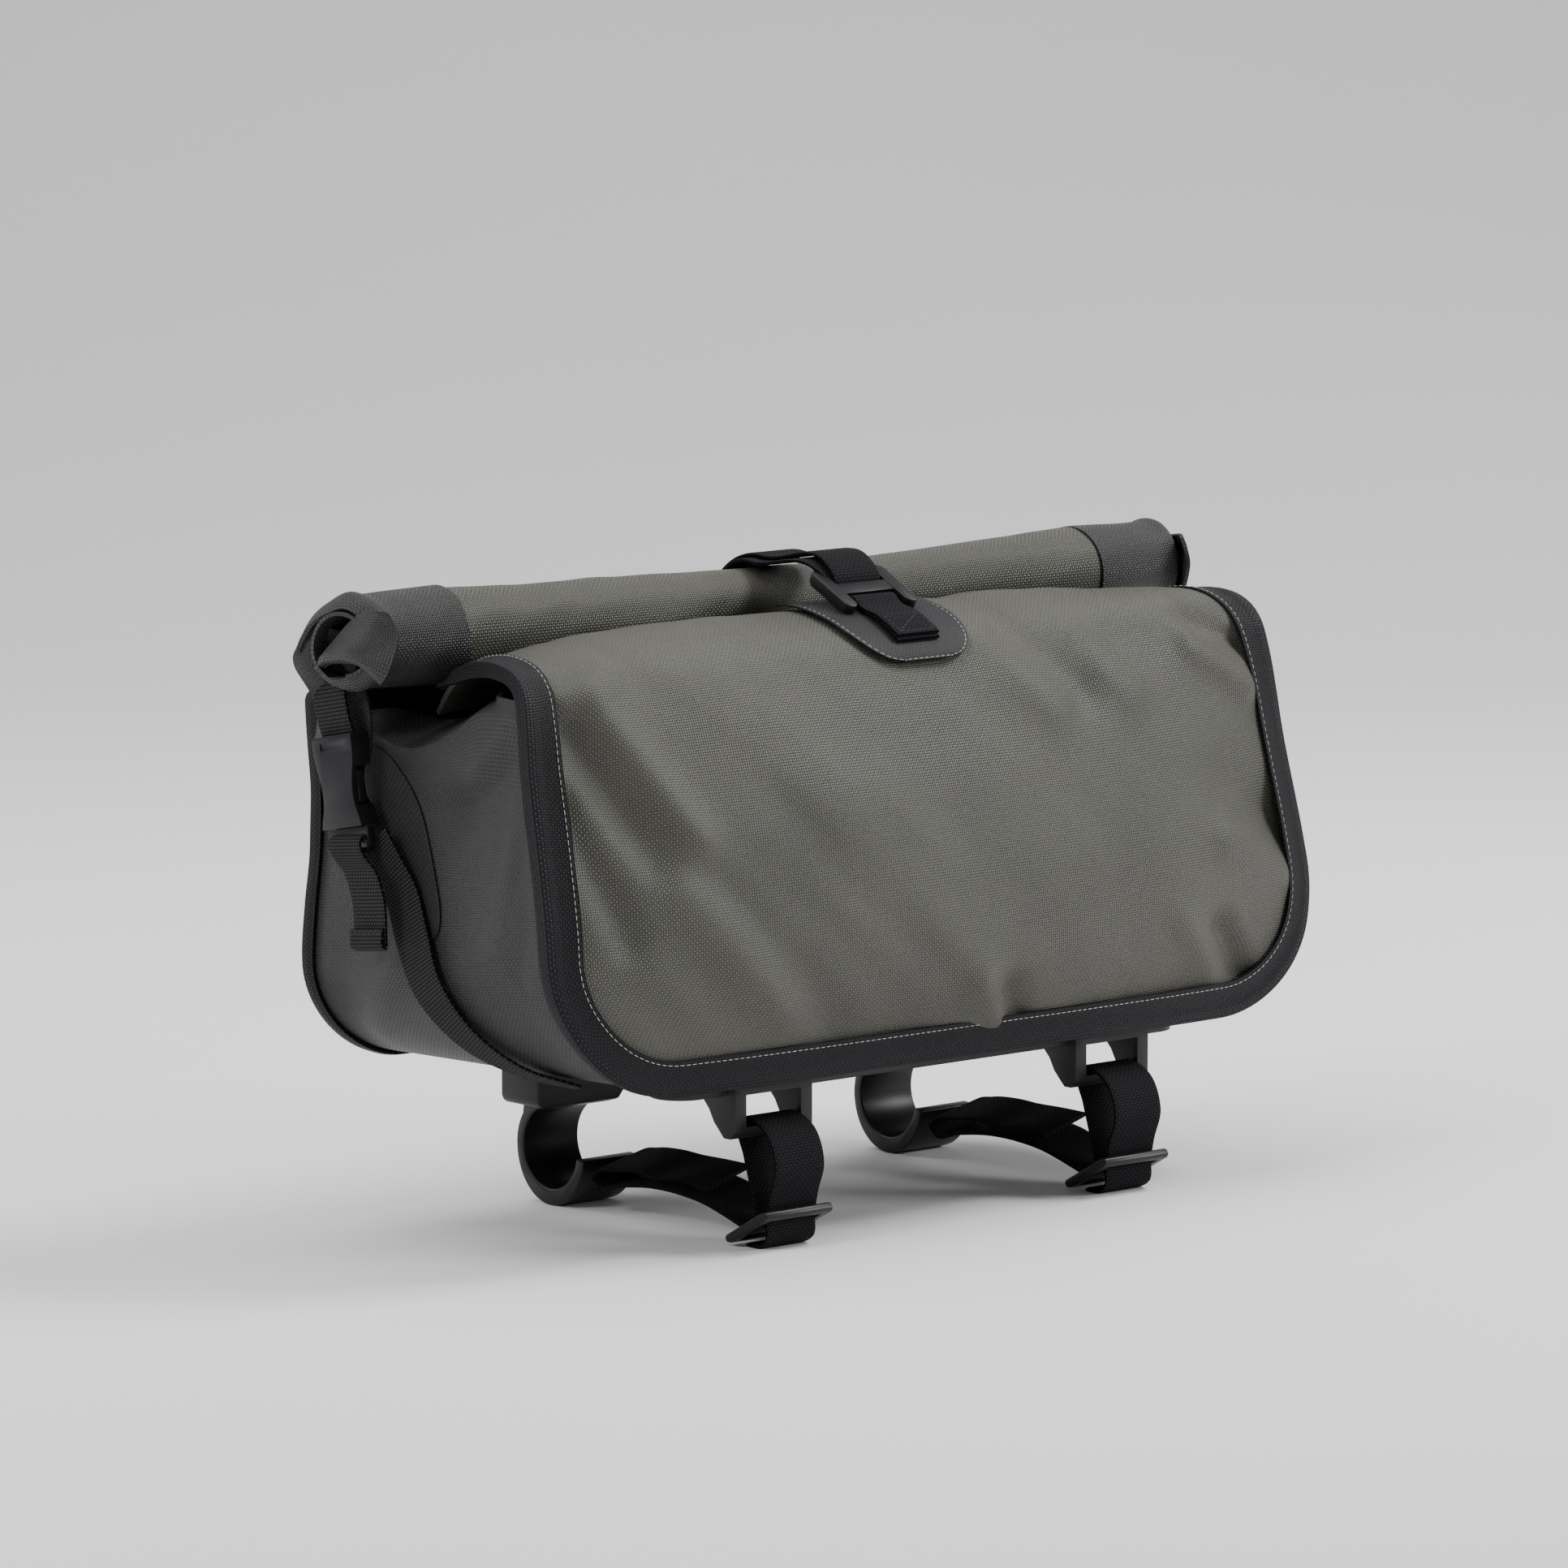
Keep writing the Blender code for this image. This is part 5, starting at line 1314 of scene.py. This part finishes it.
def buckle_female(name, side, node):
    """Female half of the side buckle: waisted shell, side windows, and a raised lip round its face."""
    w = BUCKLE_WIDTH / 2
    h = BUCKLE_LENGTH / 2
    t = BUCKLE_THICK / 2
    heights = np.linspace(1.0, -1.0, 22)
    spreads = smooth(column(FEMALE_SIDE, 0)[::-1], column(FEMALE_SIDE, 1)[::-1], heights)
    outline = [(w * s, h * z) for z, s in zip(heights, spreads)]
    outline += [(-y, z) for y, z in outline[::-1]]
    web = NARROW_WEB / 2 + 0.6
    cuts = [solid(*buckle_part(swept(box_outline((-web, h - 7.0), (web, h + 2.0)), -t * 0.45, t * 0.45, "X"), side)),
            solid(*buckle_part(swept(box_outline((-w * 0.62, -h - 2.0), (w * 0.62, -h + 8.0)), -t * 0.5, t * 0.5, "X"),
                               side))]
    for across in (-1.0, 1.0):
        window = arc(across * w * 0.80, -h * 0.12, w * 0.30, 0.0, 345.0, 24)
        window = [(y, -h * 0.12 + (z + h * 0.12) * 2.1) for y, z in window]
        cuts.append(solid(*buckle_part(swept(window, -t * 0.52, t + 2.0, "X"), side)))
    face = box_outline((-w * 0.60, h * 0.70), (w * 0.60, h * 0.86))
    cuts.append(solid(*buckle_part(swept(face, side * (t - 0.5), side * (t + 2.0), "X"), side)))
    rounded(name, *buckle_part(swept(outline, -t, t, "X"), side), SMOOTH_PLASTIC, "black_plastic", (node,), 0.9, 3, cuts)


def buckle_male(name, side, node):
    """Male half: a slotted frame below, a tongue in the throat, and two prongs in the windows."""
    w = BUCKLE_WIDTH / 2
    h = BUCKLE_LENGTH / 2
    t = BUCKLE_THICK / 2 * 0.8
    low = -h - 11.0
    top = -h - GAP
    outline = [(-w, top), (w, top), (w * 0.98, low + 4.0)] + arc(w * 0.9 - 3.0, low + 3.0, 3.0, 0.0, -90.0, 6)
    outline += [(-y, z) for y, z in outline[:1:-1]]
    joins = [solid(*buckle_part(swept(box_outline((-w * 0.56, top - 2.0), (w * 0.56, -h + 7.0)), -t * 0.42, t * 0.42, "X"),
                                side))]
    web = NARROW_WEB / 2 + 0.5
    cuts = [solid(*buckle_part(swept(box_outline((-web, low + 2.5), (web, low + 7.0)), -t - 2.0, t + 2.0, "X"), side))]
    rounded(name, *buckle_part(swept(outline, -t * 0.5, t * 0.5, "X"), side), SMOOTH_PLASTIC, "black_plastic", (node,),
            0.7, 3, cuts, joins)
    for word, across in (("front", -1.0), ("back", 1.0)):
        prong = [(across * w * 0.60, -h * 0.52), (across * w * 0.74, -h * 0.50), (across * w * 0.80, -h * 0.12),
                 (across * w * 0.74, h * 0.24), (across * w * 0.60, h * 0.26)]
        rounded(f"{name}_prong_{word}", *buckle_part(swept(prong, -t * 0.5, t * 0.62, "X"), side), SMOOTH_PLASTIC,
                "black_plastic", (), 0.6)


def buckle_line(along):
    """Y and Z of a point along the side buckle's tilted axis, measured up from its middle."""
    return BUCKLE_Y + along * math.sin(BUCKLE_TILT), BUCKLE_Z + along * math.cos(BUCKLE_TILT)


def side_loop(name, side, node):
    """Webbing from inside the open roll end down into the female buckle."""
    top = BUCKLE_LENGTH / 2
    roll_bottom = (ROLL_Z - ROLL_RADIUS * 0.62 - BUCKLE_Z) / math.cos(BUCKLE_TILT)
    points = []
    for along, out in ((top - 5.0, 0.0), (top - 1.0, 0.3), (top + 8.0, 2.0), (roll_bottom - 3.0, 1.6), (roll_bottom, 0.2)):
        points.append((side * (BUCKLE_X + out), *buckle_line(along)))
    across = (0.0, math.cos(BUCKLE_TILT), -math.sin(BUCKLE_TILT))
    webbing(name, points, NARROW_WEB, across, (node,), mat=RIBBED_WEB)


SIDE_STRAP = (
    # height share, depth share of the strap's middle, clearance from the gusset
    (0.535, 0.725, 4.2),
    (0.47, 0.672, 2.6),
    (0.42, 0.630, 1.6),
    (0.32, 0.575, 1.5),
    (0.225, 0.520, 1.5),
    (0.12, 0.440, 1.5),
    (0.045, 0.350, 1.5),
    (0.006, 0.270, 1.5),
)


def side_strap(name, side, node):
    """Webbing from the male buckle down the gusset and round its bottom corner."""
    points = []
    for share, depth, clear in SIDE_STRAP:
        corner = float(corner_radius(depth))
        turn = math.acos(1.0 - min(1.0, share * SHOULDER_RISE / corner))
        x = float(half_length(share, corner)) + (clear + WEB_THICK) * math.sin(turn)
        z = BASE_Z + SHOULDER_RISE * share - (clear + WEB_THICK) * math.cos(turn)
        points.append((side * x, BODY_FRONT + BODY_DEPTH * depth, z))
    slopes = np.gradient(np.array(points), axis=0)
    slopes /= np.linalg.norm(slopes, axis=1, keepdims=True)
    across = np.array([0.0, 1.0, 0.0]) - slopes * slopes[:, 1:2]
    across /= np.linalg.norm(across, axis=1, keepdims=True)
    webbing(name, points, NARROW_WEB, across, (node,), mat=RIBBED_WEB)


SIDE_TAIL = (
    # outwards, forwards, drop in millimetres from the slot
    (-2.6, 1.5, -2.5),
    (-1.0, 0.2, -4.4),
    (0.6, 0.2, -2.6),
    (1.3, 3.0, 2.0),
    (0.9, 10.2, 8.0),
    (0.2, 13.6, 16.0),
    (-0.6, 15.0, 37.0),
)


def side_tail(name, side, node):
    """Free tail: wraps out through the male slot and hangs over the strap, its end folded and sewn."""
    y, z = buckle_line(-BUCKLE_LENGTH / 2 - 8.0)
    x = BUCKLE_X + BUCKLE_THICK * 0.2 + 2.2
    across = (0.0, 1.0, -0.12)
    points = [(side * (x + out), y - ahead, z - drop) for out, ahead, drop in SIDE_TAIL]
    webbing(name, points, NARROW_WEB, across, (node,), mat=RIBBED_WEB)
    hem = [(side * (x - 0.55 + WEB_THICK), y - 14.5, z - 30.0), (side * (x - 0.6 + WEB_THICK), y - 15.0, z - 37.2),
           (side * (x - 0.6), y - 15.05, z - 38.0)]
    webbing(name + "_hem", hem, NARROW_WEB, across, (), mat=RIBBED_WEB, step=0.8)
    for drop in (31.5, 32.6):
        spots = [(side * (x + 0.3 + WEB_THICK), y - 14.6 + c, z - drop - 0.12 * c) for c in np.linspace(-9.4, 9.4, 8)]
        stitch_row(f"{name}_hem_stitches_{drop:.0f}", spots, np.tile([side, 0.0, 0.0], (8, 1)), DARK_THREAD)


HOOK_BUCKLE_WIDTH = 38.0
HOOK_BUCKLE_LENGTH = 27.0
HOOK_BUCKLE_BAR = 6.0
HOOK_BUCKLE_X = 8.5
HOOK_BUCKLE_Y = ROLL_Y - 49.5
HOOK_BUCKLE_LIFT = 7.5
HOOK_BUCKLE_TILT = math.radians(27.0)
STRAP_LIFT = 2.6
STRAP_SPREAD = (
    # place along the strap from the back to the buckle, sideways slip of the inner layer
    (0.0, 0.0),
    (0.35, -0.5),
    (0.62, -4.5),
    (0.80, -5.5),
    (0.93, -1.5),
    (1.0, 0.0),
)


def hook_point(across, along, up):
    """Point in the hook buckle's frame: along is up its slope towards the roll."""
    c, s = math.cos(HOOK_BUCKLE_TILT), math.sin(HOOK_BUCKLE_TILT)
    y = HOOK_BUCKLE_Y + along * c - up * s
    return HOOK_BUCKLE_X + across, y, SHOULDER_Z + HOOK_BUCKLE_LIFT + along * s + up * c


def in_hook_frame(verts_faces):
    """Points and faces moved from the hook buckle's frame to the bag."""
    verts, faces = verts_faces
    return [hook_point(*v) for v in verts], faces


def centre_hook(name):
    """H-shaped hook buckle: a flat bar between two thicker cheeks with rounded ends."""
    reach = HOOK_BUCKLE_LENGTH / 2
    w = HOOK_BUCKLE_WIDTH / 2
    b = HOOK_BUCKLE_BAR
    bar = box_outline((-w + b / 2, -3.4), (w - b / 2, 3.4))
    cheeks = []
    for side in (-1.0, 1.0):
        middle = side * (w - b / 2)
        cheek = arc(middle, reach - b / 2, b / 2, 0.0, 180.0, 10) + arc(middle, -reach + b / 2, b / 2, 180.0, 360.0, 10)
        cheeks.append(solid(*in_hook_frame(swept(cheek, -2.1, 2.0, "Z"))))
    rounded(name, *in_hook_frame(swept(bar, -1.5, 1.5, "Z")), SMOOTH_PLASTIC, "black_plastic", ("centre_hook",), 0.75, 3,
            (), cheeks)
    for word, side in (("left", -1.0), ("right", 1.0)):
        middle = side * (w - b / 2)
        rim = arc(middle, reach - b / 2 - 0.4, b / 2 - 0.5, 0.0, 180.0, 10)
        rim += arc(middle, -reach + b / 2 + 0.4, b / 2 - 0.5, 180.0, 360.0, 10)
        rounded(f"{name}_cheek_{word}", *in_hook_frame(swept(rim, -3.4, -1.6, "Z")), SMOOTH_PLASTIC, "black_plastic", (), 0.6)


def strap_layer(name, lift, slip, nodes):
    """One layer of the centre strap, from the back panel over the roll to the hook buckle's bar."""
    points = []
    for share in (0.72, 0.80, 0.88, 0.94):
        base, out = panel_at(back_point, 0.0, share)
        points.append(base + out * (STRAP_LIFT + lift))
    for angle in (8.0, 28.0, 48.0, 68.0, 88.0, 104.0):
        turn = math.radians(angle)
        r = float(roll_radius(0.0)) + STRAP_LIFT + 0.2 + lift
        points.append((HOOK_BUCKLE_X * angle / 140.0, ROLL_Y + r * math.cos(turn), ROLL_Z + r * math.sin(turn)))
    points.append(hook_point(0.0, HOOK_BUCKLE_LENGTH / 2 + 1.5, 3.6 + lift * 1.4))
    points.append(hook_point(0.0, 6.0, 1.2 + lift))
    points.append(hook_point(0.0, 2.6, -2.3))
    places = np.linspace(0.0, 1.0, len(points))
    points = np.array(points)
    points[:, 0] += slip * smooth(column(STRAP_SPREAD, 0), column(STRAP_SPREAD, 1), places)
    webbing(name, points, WIDE_WEB - 1.0, (1.0, 0.0, 0.0), nodes)


def anchor_point(x, share, lift):
    """Point over the centre patch at X and a profile share, and the way out there."""
    point, out = panel_at(front_point, x, share)
    return point + out * (GAP * 4 + 1.7 + lift), out


def centre_anchor(name):
    """Doubled webbing sewn on the patch with a box stitch, up and round the hook buckle's bar."""
    for word, lift, first, nodes in (("", 0.0, 0.606, ("centre_anchor",)), ("_fold", 1.5, 0.611, ())):
        points = [anchor_point(HOOK_BUCKLE_X, share, lift)[0] for share in (first, 0.622, 0.640, 0.662)]
        points.append(hook_point(0.0, -HOOK_BUCKLE_LENGTH / 2 + 2.5, -1.6 + lift))
        points.append(hook_point(0.0, -6.0, -0.7 + lift))
        points.append(hook_point(0.0, -2.6, -2.3))
        webbing(name + word, points, WIDE_WEB - 3.0, (1.0, 0.0, 0.0), nodes)
    half = WIDE_WEB / 2 - 3.4
    box = ((-half, 0.616), (half, 0.616), (half, 0.656), (-half, 0.656))
    lines = [(box[i], box[(i + 1) % 4]) for i in range(4)] + [(box[0], box[2]), (box[1], box[3])]
    for number, (start, end) in enumerate(lines):
        spots = []
        outs = []
        for t in np.linspace(0.0, 1.0, 12):
            x = HOOK_BUCKLE_X + start[0] + (end[0] - start[0]) * t
            spot, out = anchor_point(x, start[1] + (end[1] - start[1]) * t, 1.5 + WEB_THICK / 2)
            spots.append(spot)
            outs.append(out)
        stitch_row(f"{name}_stitches_{number}", spots, np.array(outs), DARK_THREAD)


strap_layer("over_strap", 1.1, 0.0, ("centre_strap",))
strap_layer("under_strap", -0.8, 1.0, ())
centre_hook("hook_buckle")
centre_anchor("anchor_webbing")
for word, side in (("left", -1), ("right", 1)):
    side_loop(f"loop_webbing_{word}", side, f"side_loop_{word}")
    buckle_female(f"socket_{word}", side, f"buckle_female_{word}")
    buckle_male(f"plug_{word}", side, f"buckle_male_{word}")
    side_strap(f"side_webbing_{word}", side, f"side_strap_{word}")
    side_tail(f"tail_webbing_{word}", side, f"side_tail_{word}")


# Camera and studio
VIEW_AZIMUTH = math.radians(41.0)
VIEW_ELEVATION = math.radians(7.8)
VIEW_DISTANCE = 3.5
VIEW_AIM = (-0.0093, 0.0164, 0.1650)
LENS = 200.0
SENSOR = 36.0

LIGHTS = (
    # name, direction to the light (x, y, z), distance, width, height, watts
    ("key", (0.62, -0.22, 0.78), 2.2, 0.9, 0.6, 44.0),
    ("front", (0.80, -0.62, 0.34), 2.3, 0.7, 0.4, 24.0),
    ("top", (-0.10, 0.30, 1.00), 2.0, 2.0, 1.2, 28.0),
    ("fill", (-0.95, 0.05, 0.62), 2.4, 0.8, 0.6, 24.0),
    ("rim", (-0.55, 1.00, 0.60), 2.4, 0.8, 1.4, 14.0),
)


def add_camera():
    """Camera at the photograph's angle."""
    data = bpy.data.cameras.new("camera")
    data.lens = LENS
    data.sensor_width = SENSOR
    camera = bpy.data.objects.new("camera", data)
    bpy.context.collection.objects.link(camera)
    away = Vector((
        -math.sin(VIEW_AZIMUTH) * math.cos(VIEW_ELEVATION),
        -math.cos(VIEW_AZIMUTH) * math.cos(VIEW_ELEVATION),
        math.sin(VIEW_ELEVATION),
    ))
    camera.location = Vector(VIEW_AIM) + away * VIEW_DISTANCE
    camera.rotation_euler = away.to_track_quat("Z", "Y").to_euler()
    bpy.context.scene.camera = camera


def add_lights():
    """Large soft lights round the bag."""
    for name, way, distance, width, height, watts in LIGHTS:
        data = bpy.data.lights.new(name, "AREA")
        data.shape = "RECTANGLE"
        data.size = width
        data.size_y = height
        data.energy = watts
        lamp = bpy.data.objects.new(name, data)
        bpy.context.collection.objects.link(lamp)
        way = Vector(way).normalized()
        lamp.location = Vector((0.0, 0.0, 0.12)) + way * distance
        lamp.rotation_euler = way.to_track_quat("Z", "Y").to_euler()
    world = bpy.data.worlds.new("studio")
    world.use_nodes = True
    world.node_tree.nodes["Background"].inputs["Color"].default_value = (0.92, 0.92, 0.94, 1.0)
    world.node_tree.nodes["Background"].inputs["Strength"].default_value = 0.20
    bpy.context.scene.world = world


def add_sweep():
    """Pale floor that curves up into a wall behind the bag."""
    depth = [-6.0, -4.0, -2.0, -1.0, 0.0, 1.0, 1.6]
    profile = [(y, 0.0) for y in depth]
    radius = 1.6
    for turn in np.linspace(0.0, math.pi / 2, 24)[1:]:
        profile.append((1.6 + radius * math.sin(turn), radius * (1.0 - math.cos(turn))))
    profile += [(3.2, z) for z in (2.4, 4.0, 6.0)]
    ways = (math.sin(VIEW_AZIMUTH), math.cos(VIEW_AZIMUTH))
    verts = []
    for run, rise in profile:
        for over in (-7.0, 7.0):
            verts.append((ways[0] * run + ways[1] * over, ways[1] * run - ways[0] * over, rise))
    faces = [(2 * i, 2 * i + 1, 2 * i + 3, 2 * i + 2) for i in range(len(profile) - 1)]
    mesh = bpy.data.meshes.new("sweep")
    mesh.from_pydata(verts, [], faces)
    mesh.shade_smooth()
    mesh.materials.append(studio_material("studio_paper", (0.86, 0.85, 0.865)))
    sweep = bpy.data.objects.new("sweep", mesh)
    bpy.context.collection.objects.link(sweep)


add_camera()
add_lights()
add_sweep()
